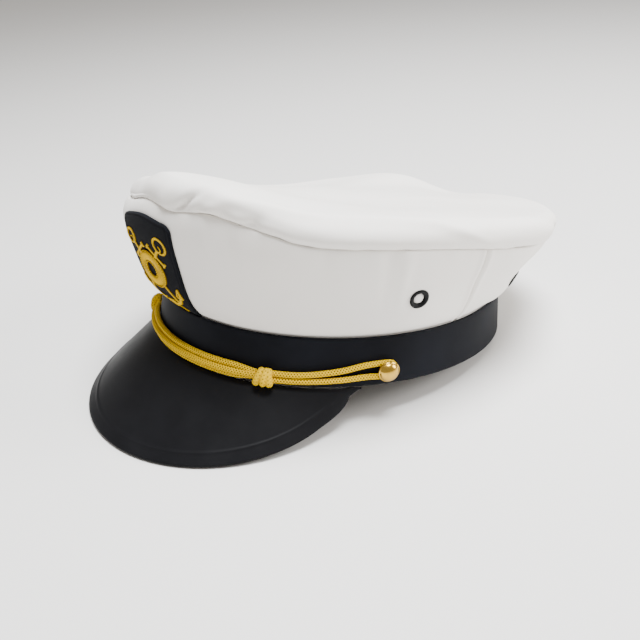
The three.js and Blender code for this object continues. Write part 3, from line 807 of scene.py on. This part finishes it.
# Folds of the top: angle and share of each end, width and depth.
TOP_FOLDS = (
    (27, 0.0, 34, 0.34, 2.8, -2.6), (21, 0.0, 23, 0.3, 3.5, 0.8), (35, 0.0, 41, 0.32, 3.6, 1.2),
    (46.5, 0.0, 49, 0.26, 2.4, -1.4), (43, 0.0, 43, 0.2, 3.0, 0.6),
    (-18, 0.0, -15, 0.5, 18.0, 1.5), (2, 0.15, 8, 0.5, 16.0, -1.4),
    (-75, 0.0, -65, 0.45, 8.0, 0.7), (-140, 0.0, -128, 0.5, 8.0, -0.9),
    (127, 0.05, 127, 0.55, 16.0, 1.7), (172, 0.1, 178, 0.75, 29.0, 3.4),
    (151, 0.0, 147, 0.4, 12.0, -1.8), (-172, 0.0, -164, 0.45, 8.0, -0.7),
)

# A soft ridge that rounds the wearer's left side of the top: angle, share, lift, hollow below it.
TOP_RIDGE = (
    (36, 0.24, 0.0, 0.0), (42, 0.30, 0.8, 0.3), (52, 0.42, 1.1, 0.5), (64, 0.50, 1.0, 0.5),
    (76, 0.50, 1.0, 0.7), (90, 0.42, 1.0, 0.7), (99, 0.26, 0.7, 0.2), (108, 0.08, 0.5, 0.0),
    (114, 0.04, 0.0, 0.0),
)


def ridge_relief(angle, share):
    here = beside(angle, 0)
    for (a0, *before), (a1, *after) in zip(TOP_RIDGE, TOP_RIDGE[1:]):
        if a0 <= here < a1:
            t = (here - a0) / (a1 - a0)
            crest, lift, hollow = (lerp(b, a, t) for b, a in zip(before, after))
            below = hollow * bump(share - crest / 2, 0.35 * crest + 0.01)
            return smooth(share / 0.05) * (lift * bump(share - crest, 0.075) - below)
    return 0.0


def top_relief(angle, share, scale):
    """Waves, puckers, folds and the ridge of the top."""
    plan = ring_spot(angle, (1 - share) * 2.6, 5.0)
    lift = noise.noise(plan) * TOP_WAVES + noise.noise(plan * 2.3) * TOP_RIPPLES
    pucker = noise.noise(ring_spot(angle, 17, share * 2 + 9)) * TOP_PUCKERS
    lift = lift * smooth(share / 0.3) + pucker * bump(share, 0.12)
    lift += fold_relief(TOP_FOLDS, angle, share) * smooth(share / 0.06)
    return (lift + ridge_relief(angle, share)) * scale


class HAT_OT_crown_top(bpy.types.Operator):
    """Sews the crown's top panel, with its rolled rim, dents and soft folds"""
    bl_idname = "hat.crown_top"
    bl_label = "Crown top"

    def execute(self, context):
        settings = context.scene.hat_crown
        thickness = settings.cloth_thickness * PER_METRE
        columns, rows = 320, 72
        shares = [min(0.997, (i / rows) ** 1.15) for i in range(rows + 1)]
        # The panel starts with two rows that are turned in under its seam, this far.
        turned_in = (2.6, 1.1)
        first = len(turned_in)
        cut = 400.0  # another place of the cloth

        def cell(column, row, side):
            angle = round(360 * column / columns, 3) % 360
            share = shares[max(0, row - first)]
            point = top_point(angle, share)
            here = max(share, 0.002)
            along = top_point(angle + 0.5, here) - top_point(angle - 0.5, here)
            climb = top_point(angle, here + 0.004) - top_point(angle, here - 0.002)
            normal = along.cross(climb).normalized()
            if share > 0.9:
                normal = normal.lerp(UP, smooth((share - 0.9) / 0.1)).normalized()
            lift, inset = 0.0, 0.0
            if row < first:
                inset = turned_in[row]
            else:
                lift = top_relief(angle, share, settings.fold_depth)
            flat = (point.x + cut) / PER_METRE, point.y / PER_METRE + point.z / 1500
            point += normal * (lift - thickness * side) - outward(angle) * inset
            point.z -= 0.2 * (row < 5)
            return point, flat

        bm = two_sides(columns, rows + first, cell)
        bmesh.ops.remove_doubles(bm, verts=bm.verts, dist=0.0002)
        middle, seam = [], []
        for edge in boundary(bm):
            near = (edge.verts[0].co - Vector(TOP_CENTRE)).length < 6
            (middle if near else seam).append(edge)
        bmesh.ops.holes_fill(bm, edges=middle, sides=0)
        bmesh.ops.bridge_loops(bm, edges=seam)
        finish_piece("crown_top_cloth", bm, bpy.data.materials["Crown cloth"],
                     ["crown_top"])
        return {"FINISHED"}


# ------------------------------------------------------------------------------------------------
# Band and peak.
# ------------------------------------------------------------------------------------------------
class HAT_OT_band(bpy.types.Operator):
    """Makes the head band: a ring of dark cloth with rounded edges"""
    bl_idname = "hat.band"
    bl_label = "Band"

    def execute(self, context):
        # The section is spun on a plain drum first, and then bent onto the oval.
        fillet, drum, segments, row_height = 0.9, 100.0, 320, 1.2
        corners = []
        for offset, height, start in ((-fillet, fillet, -90), (-fillet, BAND_HEIGHT - fillet, 0),
                                      (-BAND_WALL + fillet, BAND_HEIGHT - fillet, 90),
                                      (-BAND_WALL + fillet, fillet, 180)):
            for turn in range(0, 91, 18):
                a = math.radians(start + turn)
                corners.append((drum + (offset + fillet * math.cos(a)),
                                height + fillet * math.sin(a)))
        profile = []
        for here, ahead in zip(corners, corners[1:] + corners[:1]):
            steps = max(1, int(math.dist(here, ahead) / row_height))
            profile += [tuple(lerp(a, b, i / steps) for a, b in zip(here, ahead))
                        for i in range(steps)]
        profile.append(profile[0])
        bm = spun(profile, segments)

        layer = bm.loops.layers.uv.verify()
        for face in bm.faces:
            centre = face.calc_center_median()
            turn = math.atan2(centre.y, centre.x)
            for loop in face.loops:
                spot = loop.vert.co
                a = math.atan2(spot.y, spot.x)
                a -= math.tau * round((a - turn) / math.tau)
                loop[layer].uv = (a * MEAN_RADIUS / PER_METRE, spot.z / PER_METRE)
        for vert in bm.verts:
            angle = math.degrees(math.atan2(vert.co.y, vert.co.x))
            offset = math.hypot(vert.co.x, vert.co.y) - drum
            height = vert.co.z
            wave = noise.noise(ring_spot(angle, 3, height * 0.05)) * 0.25
            wave *= smooth(height / 4) * smooth((BAND_HEIGHT - height) / 4) * (offset > -1)
            vert.co = band_face(angle, height, offset + wave)
        finish_piece("band_cloth", bm, band_cloth_material(context.scene.hat_band),
                     ["band"])
        return {"FINISHED"}


# The lip's rounding: how far each of the first rows lies inside it, and its depth as a share of
# the peak's thickness.
LIP_ROUNDING = ((0.0, 0.5), (0.0, 0.3), (0.12, 0.12), (0.45, 0.0))
RIDGE_HEIGHT, RIDGE_WIDTH, BORDER_HEIGHT = 0.24, 0.6, 0.10


class HAT_OT_peak(bpy.types.Operator):
    """Moulds the peak, with its rounded lip and the raised line that follows it"""
    bl_idname = "hat.peak"
    bl_label = "Peak"

    def execute(self, context):
        settings = context.scene.hat_band
        thickness = settings.peak_thickness * PER_METRE
        inset = settings.line_inset * PER_METRE
        columns, rows, stops = 220, 84, 800
        lip = KDTree(stops + 1)
        for i in range(stops + 1):
            angle = lerp(-PEAK_HALF_ANGLE, PEAK_HALF_ANGLE, i / stops)
            lip.insert(peak_point(angle, 1.0, 0), i)
        lip.balance()
        rounded = len(LIP_ROUNDING)
        edge = LIP_ROUNDING[-1][0]

        def place(column, row, side):
            angle = PEAK_TAIL[1] * math.sin(math.pi * (column / columns - 0.5))
            length = max(0.5, (peak_point(angle, 1, 0) - peak_point(angle, 0, 0)).length)
            if row < rounded:
                back, depth = LIP_ROUNDING[row]
                run = 1 - min(0.5, back / length)
            else:
                share = (row - rounded + 1) / (rows + 1)
                run = max(0.0, 1 - min(1.0, edge / length) - (1 - edge / length) * share)
                depth = 0.0
            depth *= thickness
            point = peak_point(angle, run, thickness - depth if side else depth)
            if side or row < rounded:
                return point
            distance = lip.find(point)[2]
            line = RIDGE_HEIGHT * bump(distance - inset, RIDGE_WIDTH)
            border = BORDER_HEIGHT * smooth((inset - distance) / 1.5 + 0.5)
            return peak_point(angle, run, -(line + border) * smooth((length - 8) / 10))

        bm = closed_shell(columns, rows + rounded, place, 0.0002)
        finish_piece("peak_shell", bm, peak_material(settings), ["peak"])
        return {"FINISHED"}


# ------------------------------------------------------------------------------------------------
# Badge.
# ------------------------------------------------------------------------------------------------
# The stitched line inside the patch's edge: how far in, half width, depth and stitch length.
STITCH_INSET, STITCH_WIDTH, STITCH_DEPTH, STITCH_LENGTH = 1.7, 0.45, 0.35, 2.2
# Painted colours of the embroidery: shade deep between strands, and a highlight on their backs.
EMBROIDERY_SHADE, EMBROIDERY_HIGHLIGHT = (0.10, 0.045, 0.003), (0.84, 0.54, 0.003)


class HAT_OT_badge_patch(bpy.types.Operator):
    """Cuts the felt patch of the badge, with rounded upper corners and a stitched-down edge"""
    bl_idname = "hat.badge_patch"
    bl_label = "Badge patch"

    def execute(self, context):
        columns, rows = 110, 84

        def place(column, row, side):
            u, v = 2 * column / columns - 1, row / rows
            up = GAP + (PATCH_HEIGHT - GAP) * (1 - (1 - v) ** 1.25)
            corner = max(0.0, up - (PATCH_HEIGHT - PATCH_CORNER)) / PATCH_CORNER
            half = PATCH_HALF_WIDTH - PATCH_CORNER * (1 - math.sqrt(max(0, 1 - corner ** 2)))
            across = math.copysign(1 - (1 - abs(u)) ** 1.2, u) * half
            out = GAP
            if not side:
                edge = min(half - abs(across), PATCH_HEIGHT - up)
                stitch = 0.5 + 0.5 * math.cos(math.tau * (up + abs(across)) / STITCH_LENGTH)
                sunk = STITCH_DEPTH * bump(edge - STITCH_INSET, STITCH_WIDTH)
                out += PATCH_THICKNESS * min(1.0, (max(edge, 0.0) / 0.5) ** 0.5 * 0.85)
                out += 0.18 * smooth(edge) - sunk * (0.6 + 0.4 * stitch)
            return front_point(across, up, out)

        bm = closed_shell(columns, rows, place, 0.005)
        finish_piece("badge_felt", bm, felt_material(context.scene.hat_badge),
                     ["badge_patch"])
        return {"FINISHED"}


def satin_stroke(bm, curve, width, height, pitch, level=0.0, rope=False):
    """Adds one raised column of satin stitches along a flat curve of the badge. curve goes from
    share 0 to 1 to a point in millimetres from the emblem's middle; width is a number or a
    function of the share; level lifts the stroke; a rope's stitches are gathered in turns."""
    samples = [curve(i / 60) for i in range(61)]
    length = sum((b - a).length for a, b in zip(samples, samples[1:]))
    steps, rows = max(6, int(length / (pitch / 4))), 8
    base = GAP + PATCH_THICKNESS + 0.12
    part, table = grid(steps, rows)
    layer = part.verts.layers.float["depth"]
    for (column, row), vert in table.items():
        share = column / steps
        side = 2 * row / rows - 1
        here = curve(share)
        direction = (curve(min(1, share + 0.01)) - curve(max(0, share - 0.01))).normalized()
        across = Vector((-direction.y, direction.x))
        half = (width(share) if callable(width) else width) / 2
        distance = share * length
        ends = smooth(distance / 0.35 + 0.05) * smooth((1 - share) * length / 0.35 + 0.05)
        crown = math.sqrt(max(0.0, 1 - side * side))
        ragged = 1 + 0.08 * noise.noise(Vector((distance * 2.1 + here.x, row * 0.2 + here.y, 1.7)))
        thread = abs(math.sin(math.pi * distance / pitch))
        if rope:
            thread = abs(math.sin(math.pi * (distance / 1.5 + side * 0.45)))
            crown *= 0.55 + 0.45 * thread
        out = height * crown * (0.72 + 0.28 * thread) * ends + level * crown ** 0.3 * ends
        spot = here + across * side * half * ragged
        vert.co = front_point(spot.x, EMBLEM_UP + spot.y, base + out)
        # Depth value: low at the stroke's sides and between stitches, where painted shade goes,
        # and high on its crown, where the painted highlight goes.
        vert[layer] = thread * crown
    join(bm, part)


class HAT_OT_badge_emblem(bpy.types.Operator):
    """Embroiders two crossed anchors behind a ring, with a rope along the patch's foot"""
    bl_idname = "hat.badge_emblem"
    bl_label = "Badge emblem"

    def execute(self, context):
        settings = context.scene.hat_badge
        pitch = settings.stitch_pitch * PER_METRE
        bm = new_mesh()
        # An anchor is 2 * half long. Its shank is broken behind the ring.
        half, lean, broken, stock, arm_radius = 21.8, 36.5, 8.0, 6.5, 9.5
        ring_radius, ring_width, rim_radii = 7.5, 5.8, (4.5, 10.5)

        def stroke(curve, width, height=0.75, **more):
            satin_stroke(bm, curve, width, height, pitch, **more)

        def arc(centre, radius, start, end):
            def curve(share):
                a = math.radians(lerp(start, end, share))
                return centre + Vector((math.cos(a), math.sin(a))) * radius
            return curve

        def anchor(lean, level):
            turn = Matrix.Rotation(-math.radians(lean), 2)

            def line(a, b):
                a, b = Vector(a), Vector(b)
                return lambda share: turn @ a.lerp(b, share)

            def arm(share):
                spread = math.radians(64) * (2 * share - 1)
                return turn @ Vector((arm_radius * math.sin(spread),
                                      arm_radius * (1 - math.cos(spread)) - half))

            stroke(line((0, -half), (0, -broken)), 2.1, level=level)
            stroke(line((0, broken), (0, half - 3.9)), 2.1, level=level)
            stroke(line((-stock, half - 9.4), (stock, half - 9.4)), 1.9, level=level)
            for x in (-stock, stock):
                stroke(line((x, half - 11), (x, half - 7.8)), 1.6, level=level)
            eye, link = (turn @ Vector((0, y)) for y in (half, half - 2.2))
            stroke(arc(eye, 4.2, -90 - lean, 277 - lean), 1.5, level=level)
            stroke(arc(link, 1.7, -100 - lean, 110 - lean), 0.9, level=level)
            stroke(arm, lambda s: 2.4 - 0.9 * abs(2 * s - 1), level=level)
            for tip, root in ((0, 0.22), (1, 0.78)):
                ahead = (arm(tip) - arm(root)) * 1.3
                wide = Vector((-ahead.y, ahead.x)) * 0.36
                corners = [arm(root) + way for way in (wide, ahead, -wide, wide)]
                for a, b in zip(corners, corners[1:]):
                    stroke(lambda s, a=a, b=b: a.lerp(b, s), 1.15, level=level + 0.1)

        def rope(share):
            return Vector((lerp(-14, 14.5, share),
                           -20.5 + 1.8 * math.sin(share * 9.4) - 2.6 * share))

        anchor(lean, 0.0)
        anchor(-lean, 0.15)
        centre = Vector((0, 0))
        stroke(arc(centre, ring_radius, 0, 366), ring_width, height=0.9, level=0.5)
        for radius in rim_radii:
            stroke(arc(centre, radius, 0, 366), 0.7, height=0.7, level=0.6, rope=True)
        stroke(rope, 1.15, height=0.85, rope=True)
        thread = thread_material("Embroidery thread", settings.thread_colour, EMBROIDERY_SHADE,
                                 EMBROIDERY_HIGHLIGHT)
        piece = finish_piece("badge_embroidery", bm, thread,
                             ["badge_emblem"])
        skin = piece.modifiers.new("Thread depth", "SOLIDIFY")
        skin.thickness = 0.0006
        skin.offset = -1
        return {"FINISHED"}


# ------------------------------------------------------------------------------------------------
# Cord, knots, buttons and eyelets.
# ------------------------------------------------------------------------------------------------
KNOT_HALF_ANGLE = math.degrees((KNOT_LENGTH / 2 + GAP) / HALF_WIDTH)
# How far a run reaches into its knot, in degrees.
KNOT_HOLD = 1.2
BESIDE_BAND = CORD_RADIUS + GAP
STRANDS = 4
# Painted colours of the cord: shade in its pits and between strands, and a highlight on their
# backs.
BRAID_SHADE, BRAID_HIGHLIGHT = (0.03, 0.012, 0.0005), (0.84, 0.54, 0.002)

# name, height, sag, layer of each run across the front
CORD_FRONTS = (
    ("upper", 7.5, 0.2, 0.0), ("middle", 5.05, 0.0, 1.5), ("lower", 2.7, -0.2, 0.0),
)
# The three wraps of a sliding knot: how far along each lies at the foot and at the top of the
# knot, positive towards its button, and how far it stands out over the others.
KNOT_WRAPS = ((-2.9, -0.9, 0.0), (0.2, 1.2, 0.6), (2.9, 2.2, 0.0))
WRAP_RADIUS, WRAP_HALF_HEIGHT, WRAP_HALF_DEPTH = 1.85, 4.9, 3.5

# share of the way from knot to button, and height, of the two runs of a doubled turn
CORD_OUT = ((0.0, 6.5), (0.3, 7.0), (0.65, 9.4), (0.9, 12.0))
CORD_BACK = ((0.9, 5.9), (0.65, 4.8), (0.3, 3.7), (0.0, 3.2))


def spline(stops, count):
    """A smooth line through the stops, as count + 1 points spaced evenly along it, and its
    length."""
    dense = []
    ends = [stops[0] * 2 - stops[1], *stops, stops[-1] * 2 - stops[-2]]
    for a, b, c, d in zip(ends, ends[1:], ends[2:], ends[3:]):
        for i in range(24):
            t = i / 24
            dense.append(0.5 * (2 * b + (c - a) * t + (2 * a - 5 * b + 4 * c - d) * t * t
                                + (3 * b - a - 3 * c + d) * t ** 3))
    dense.append(stops[-1])
    lengths = [0.0]
    for a, b in zip(dense, dense[1:]):
        lengths.append(lengths[-1] + (b - a).length)
    points, index = [], 0
    for i in range(count + 1):
        goal = lengths[-1] * i / count
        while index < len(dense) - 2 and lengths[index + 1] < goal:
            index += 1
        share = (goal - lengths[index]) / max(1e-9, lengths[index + 1] - lengths[index])
        points.append(dense[index].lerp(dense[index + 1], share))
    return points, lengths[-1]


def braided_tube(bm, stops, radius, pitch, relief, hollow):
    """Adds a round braid along the stops: strands of both hands pass over and under each other
    and leave a small hollow where four of them meet."""
    rough = sum((b - a).length for a, b in zip(stops, stops[1:]))
    rings, around = max(12, int(rough / (pitch / 5))), STRANDS * 8
    points, length = spline(stops, rings)
    part, table = grid(rings, around)
    layer = part.verts.layers.float["depth"]
    frames = []
    side = UP.cross(points[1] - points[0]).normalized()
    for i, point in enumerate(points):
        ahead = (points[min(i + 1, rings)] - points[max(i - 1, 0)]).normalized()
        side = (side - ahead * side.dot(ahead)).normalized()
        frames.append((point, side, ahead.cross(side)))
    strand_width = math.tau * radius / STRANDS
    for (ring, spoke), vert in table.items():
        point, side, up = frames[ring]
        turn = math.tau * spoke / around
        far = ring / rings * length
        right_hand, left_hand = (STRANDS * turn / math.tau + hand * far / pitch / 2
                                 for hand in (1, -1))
        p, q = right_hand % 1, left_hand % 1
        over, under = (p, q) if (math.floor(right_hand) + math.floor(left_hand)) % 2 else (q, p)
        height = math.sin(math.pi * over) ** 0.5 * (0.75 + 0.25 * math.sin(math.pi * under))
        p, q = p - round(p), q - round(q)
        pit = 1 - smooth(math.hypot((p + q) / 2 * strand_width, (p - q) * pitch) / hollow - 0.4)
        reach = radius - relief * (1 - height) - relief * pit
        end = min(far, length - far)
        reach *= math.sqrt(max(0.0, 1 - max(0.0, 1 - end / 0.8) ** 2)) * 0.98 + 0.02
        vert.co = point + (side * math.cos(turn) + up * math.sin(turn)) * reach
        # Depth value: low in the pits and between strands, where painted shade goes, and high on
        # the strands' backs, where the painted highlight goes.
        vert[layer] = (0.45 + 0.55 * height) * (1 - pit)
    bmesh.ops.remove_doubles(part, verts=part.verts, dist=0.01)
    bmesh.ops.holes_fill(part, edges=boundary(part), sides=0)
    bmesh.ops.recalc_face_normals(part, faces=part.faces)
    join(bm, part)


def cord_piece(name, stops, braid, pitch):
    bm = new_mesh()
    braided_tube(bm, stops, CORD_RADIUS, pitch, relief=0.24, hollow=0.40)
    finish_piece(f"cord_{name}_braid", bm, braid, [f"cord_{name}"])


def front_run(height, sag, layer):
    """Stops of a run across the front, which is squeezed together at both knots."""
    hidden = KNOT_HALF_ANGLE - KNOT_HOLD
    first, last = KNOT_RIGHT + hidden, KNOT_LEFT - hidden
    stops = []
    for i in range(21):
        share = i / 20
        squeeze = 1 - smooth(min(share, 1 - share) / 0.1)
        rise = height + sag * 4 * share * (1 - share)
        rise = lerp(rise, KNOT_HEIGHT, 0.6 * squeeze)
        angle = FRONT_TURN + lerp(first, last, share)
        stops.append(band_face(angle, rise, BESIDE_BAND + layer * (1 - 0.35 * squeeze)))
    return stops


def button_turn(side, knot):
    """Stops of a run from a knot round its button and back."""
    start, end = knot + KNOT_HALF_ANGLE - KNOT_HOLD, BUTTON_ANGLE - 3
    around = BUTTON_STEM + GAP + CORD_RADIUS + 0.3
    flat = [(lerp(start, end, s), h) for s, h in CORD_OUT]
    for bearing in (60, 10, -50, -110):
        b = math.radians(bearing)
        flat.append((BUTTON_ANGLE + math.degrees(around * math.cos(b) / HALF_LENGTH),
                     BUTTON_HEIGHT + around * math.sin(b)))
    flat += [(lerp(start, end, s), h) for s, h in CORD_BACK]
    route, _ = spline([Vector((math.radians(a) * MEAN_RADIUS, h, 0)) for a, h in flat], 60)
    return [band_face(FRONT_TURN + side * math.degrees(p.x / MEAN_RADIUS), p.y, BESIDE_BAND)
            for p in route]


def knot_wrap(angle, hand, foot, top, over):
    """Stops of one wrap round the runs."""
    stops = []
    for i in range(33):
        t = math.tau * (i / 32 * 1.04 + 0.72)
        along = lerp(foot, top, 0.5 + 0.5 * math.cos(t))
        height = KNOT_HEIGHT + (WRAP_HALF_HEIGHT - WRAP_RADIUS) * math.cos(t)
        out = WRAP_HALF_DEPTH + GAP + (WRAP_HALF_DEPTH - WRAP_RADIUS) * math.sin(t)
        out += over * max(0.0, math.sin(t))
        turned = FRONT_TURN + angle + hand * math.degrees(along / HALF_WIDTH)
        stops.append(band_face(turned, height, out))
    return stops


class HAT_OT_cord(bpy.types.Operator):
    """Lays the braided cord: three runs across the front, a doubled turn to each button and the
    two sliding knots"""
    bl_idname = "hat.cord"
    bl_label = "Cord and knots"

    def execute(self, context):
        settings = context.scene.hat_trim
        pitch = settings.braid_pitch * PER_METRE
        braid = thread_material("Cord braid", settings.cord_colour, BRAID_SHADE, BRAID_HIGHLIGHT)
        for name, height, sag, layer in CORD_FRONTS:
            cord_piece(f"front_{name}", front_run(height, sag, layer), braid, pitch)
        for side, name, knot in ((1, "left", KNOT_LEFT), (-1, "right", -KNOT_RIGHT)):
            cord_piece(f"{name}_turn", button_turn(side, knot), braid, pitch)
        for name, angle, hand in (("left", KNOT_LEFT, 1), ("right", KNOT_RIGHT, -1)):
            bm = new_mesh()
            for wrap in KNOT_WRAPS:
                braided_tube(bm, knot_wrap(angle, hand, *wrap), WRAP_RADIUS, pitch, relief=0.14,
                             hollow=0.24)
            finish_piece(f"knot_{name}_wraps", bm, braid, [f"knot_{name}"])
        return {"FINISHED"}


class HAT_OT_buttons(bpy.types.Operator):
    """Turns the two domed side buttons"""
    bl_idname = "hat.buttons"
    bl_label = "Buttons"

    def execute(self, context):
        metal = brass_material(context.scene.hat_trim)
        base = GAP + 2 * CORD_RADIUS + GAP
        # The stem and the rolled rim, as radius and height over the button's back, then the dome.
        profile = [(0, 0), (BUTTON_STEM, 0)]
        profile += [(r, base + h) for r, h in (
            (BUTTON_STEM, 0), (4.9, 0), (5.25, 0.08), (5.52, 0.3), (5.6, 0.6), (5.5, 0.92),
            (5.28, 1.1), (5.12, 1.12))]
        dome_radius, dome_height, dome_start = 5.12, 4.0, 14.0
        for i in range(1, 17):
            rise = math.radians(lerp(dome_start, 90, i / 16))
            profile.append((dome_radius * math.cos(rise) / math.cos(math.radians(dome_start)),
                            base + 0.2 + dome_height * math.sin(rise)))
        profile[-1] = (0, profile[-1][1])
        for name, side in (("left", 1), ("right", -1)):
            angle = FRONT_TURN + BUTTON_ANGLE * side
            bm = spun_on(profile, 72, band_face(angle, BUTTON_HEIGHT, GAP), outward(angle))
            finish_piece(f"button_{name}_dome", bm, metal, [f"button_{name}"])
        return {"FINISHED"}


# An eyelet's ring over the cloth, and the lining that bulges into its hole: radius and height.
EYELET_HOLE, EYELET_CUT, EYELET_GRIP = 2.9, 3.4, 0.2
EYELET_RING = (
    (3.3, 0.0), (4.8, 0.0), (5.05, 0.1), (5.15, 0.3), (5.0, 0.52), (4.7, 0.7), (4.3, 0.78),
    (3.9, 0.76), (3.5, 0.64), (3.15, 0.42), (2.95, 0.15), (EYELET_HOLE, -0.15),
)
LINING_BULGE = ((0, 0.0), (1.2, -0.04), (2.0, -0.16), (2.5, -0.4), (2.72, -0.8))
LINING_RADIUS, LINING_THICKNESS = 6.2, 0.4


class HAT_OT_eyelets(bpy.types.Operator):
    """Presses the four vent eyelets, each with a scrap of lining that fills it from behind"""
    bl_idname = "hat.eyelets"
    bl_label = "Eyelets"

    def execute(self, context):
        enamel = eyelet_material(context.scene.hat_trim)
        cloth = bpy.data.materials["Crown cloth"]
        settings = context.scene.hat_crown
        foot = -settings.cloth_thickness * PER_METRE - EYELET_GRIP
        ring = [(EYELET_HOLE, foot), (3.3, foot), *EYELET_RING, (EYELET_HOLE, foot)]
        under = foot - GAP
        lining = [*LINING_BULGE, (2.76, under), (LINING_RADIUS, under),
                  (LINING_RADIUS, under - LINING_THICKNESS), (0, under - LINING_THICKNESS)]
        for name, turn, climb in EYELETS:
            spot = FRONT_TURN + turn, climb, settings.fold_depth
            seat = cloth_point(*spot), cloth_normal(*spot)
            finish_piece(f"eyelet_{name}_ring", spun_on(ring, 56, *seat), enamel,
                         [f"eyelet_{name}"])
            finish_piece(f"eyelet_{name}_lining", spun_on(lining, 32, *seat), cloth,
                         smooth_faces=False)
        return {"FINISHED"}


# ------------------------------------------------------------------------------------------------
# Stage.
# ------------------------------------------------------------------------------------------------
FLOOR_SIZE = 30.0
SKY_TINT = (1.0, 0.965, 0.92)
LIGHT_AIM, LIGHT_SIZE = (0.0, 0.0, 0.06), 0.6
# name, place in metres, share of the key light's power, tint
LIGHTS = (
    ("Key", (0.2, 0.1, 1.2), 1.0, (0.95, 0.975, 1.0)),
    ("Fill", (0.75, 0.95, 0.6), 0.35, (1.0, 0.975, 0.95)),
)
# The camera looks along a line that lies this many degrees round from the front and this many up,
# in the hat's own frame, and is rolled a little. It is that far off, and shifted aside and down.
CAMERA_TURN, CAMERA_RISE, CAMERA_ROLL = 66.0, 24.419, 3.61
CAMERA_AWAY, CAMERA_ASIDE, CAMERA_DOWN = 450.0, 8.028, 3.509
SENSOR, LENS = 36.0, 42.1412


class HAT_OT_stage(bpy.types.Operator):
    """Lays a pale floor, hangs soft lights and sets the camera beside the wearer's left"""
    bl_idname = "hat.stage"
    bl_label = "Stage"

    def execute(self, context):
        settings = context.scene.hat_stage

        def add(name, data):
            item = bpy.data.objects.new(name, data)
            context.scene.collection.objects.link(item)
            return item

        bm = bmesh.new()
        bmesh.ops.create_grid(bm, x_segments=8, y_segments=8, size=FLOOR_SIZE)
        mesh = bpy.data.meshes.new("floor")
        bm.to_mesh(mesh)
        bm.free()
        floor = add("floor", mesh)
        floor.data.materials.append(floor_material(settings))

        world = bpy.data.worlds.new("Plain surroundings")
        context.scene.world = world
        world.use_nodes = True
        sky = world.node_tree.nodes["Background"].inputs
        sky["Color"].default_value = colour(SKY_TINT)
        sky["Strength"].default_value = settings.sky_strength

        for name, place, share, light_tint in LIGHTS:
            light = bpy.data.lights.new(name, "AREA")
            light.shape = "DISK"
            light.size = LIGHT_SIZE
            light.energy = settings.key_power * share
            light.color = light_tint
            lamp = add(name, light)
            lamp.location = place
            aim = Vector(LIGHT_AIM) - Vector(place)
            lamp.rotation_euler = aim.to_track_quat("-Z", "Y").to_euler()

        turn, rise, roll = (math.radians(a) for a in (CAMERA_TURN, CAMERA_RISE, CAMERA_ROLL))
        back = Vector((math.sin(turn) * math.cos(rise), -math.cos(turn) * math.cos(rise),
                       math.sin(rise)))
        right = Vector((math.cos(turn), math.sin(turn), 0))
        up = back.cross(right)
        place = back * CAMERA_AWAY - right * CAMERA_ASIDE - up * CAMERA_DOWN
        axes = Matrix((right * math.cos(roll) + up * math.sin(roll),
                       up * math.cos(roll) - right * math.sin(roll), back))
        camera = bpy.data.cameras.new("Camera")
        camera.lens = LENS
        camera.sensor_width = SENSOR
        camera.clip_start = 0.01
        camera.clip_end = 20
        holder = add("Camera", camera)
        holder.matrix_world = (Matrix.Translation(STAND @ place)
                               @ (TURN @ axes.transposed().to_4x4()))
        context.scene.camera = holder
        return {"FINISHED"}


class HAT_PT_panel(bpy.types.Panel):
    """Lists the hat's settings and the steps that make it"""
    bl_idname = "HAT_PT_panel"
    bl_label = "Captain's hat"
    bl_space_type = "VIEW_3D"
    bl_region_type = "UI"
    bl_category = "Hat"

    def draw(self, context):
        for label in SETTINGS:
            box = self.layout.box()
            group = getattr(context.scene, label)
            for name in type(group).__annotations__:
                box.prop(group, name)
        for step in STEPS:
            self.layout.operator(step.bl_idname)


SETTINGS = {
    "hat_crown": CrownSettings,
    "hat_band": BandSettings,
    "hat_badge": BadgeSettings,
    "hat_trim": TrimSettings,
    "hat_stage": StageSettings,
}
STEPS = (
    HAT_OT_crown_wall,
    HAT_OT_crown_top,
    HAT_OT_band,
    HAT_OT_peak,
    HAT_OT_badge_patch,
    HAT_OT_badge_emblem,
    HAT_OT_cord,
    HAT_OT_buttons,
    HAT_OT_eyelets,
    HAT_OT_stage,
)
CLASSES = (*SETTINGS.values(), *STEPS, HAT_PT_panel)


def register():
    for item in CLASSES:
        bpy.utils.register_class(item)
    for label, settings in SETTINGS.items():
        setattr(bpy.types.Scene, label, bpy.props.PointerProperty(type=settings))


def unregister():
    for label in SETTINGS:
        delattr(bpy.types.Scene, label)
    for item in reversed(CLASSES):
        bpy.utils.unregister_class(item)


def main():
    register()
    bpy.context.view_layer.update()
    woven_group()
    mottle_group()
    for step in STEPS:
        area, name = step.bl_idname.split(".")
        getattr(getattr(bpy.ops, area), name)()


if __name__ == "__main__":
    main()
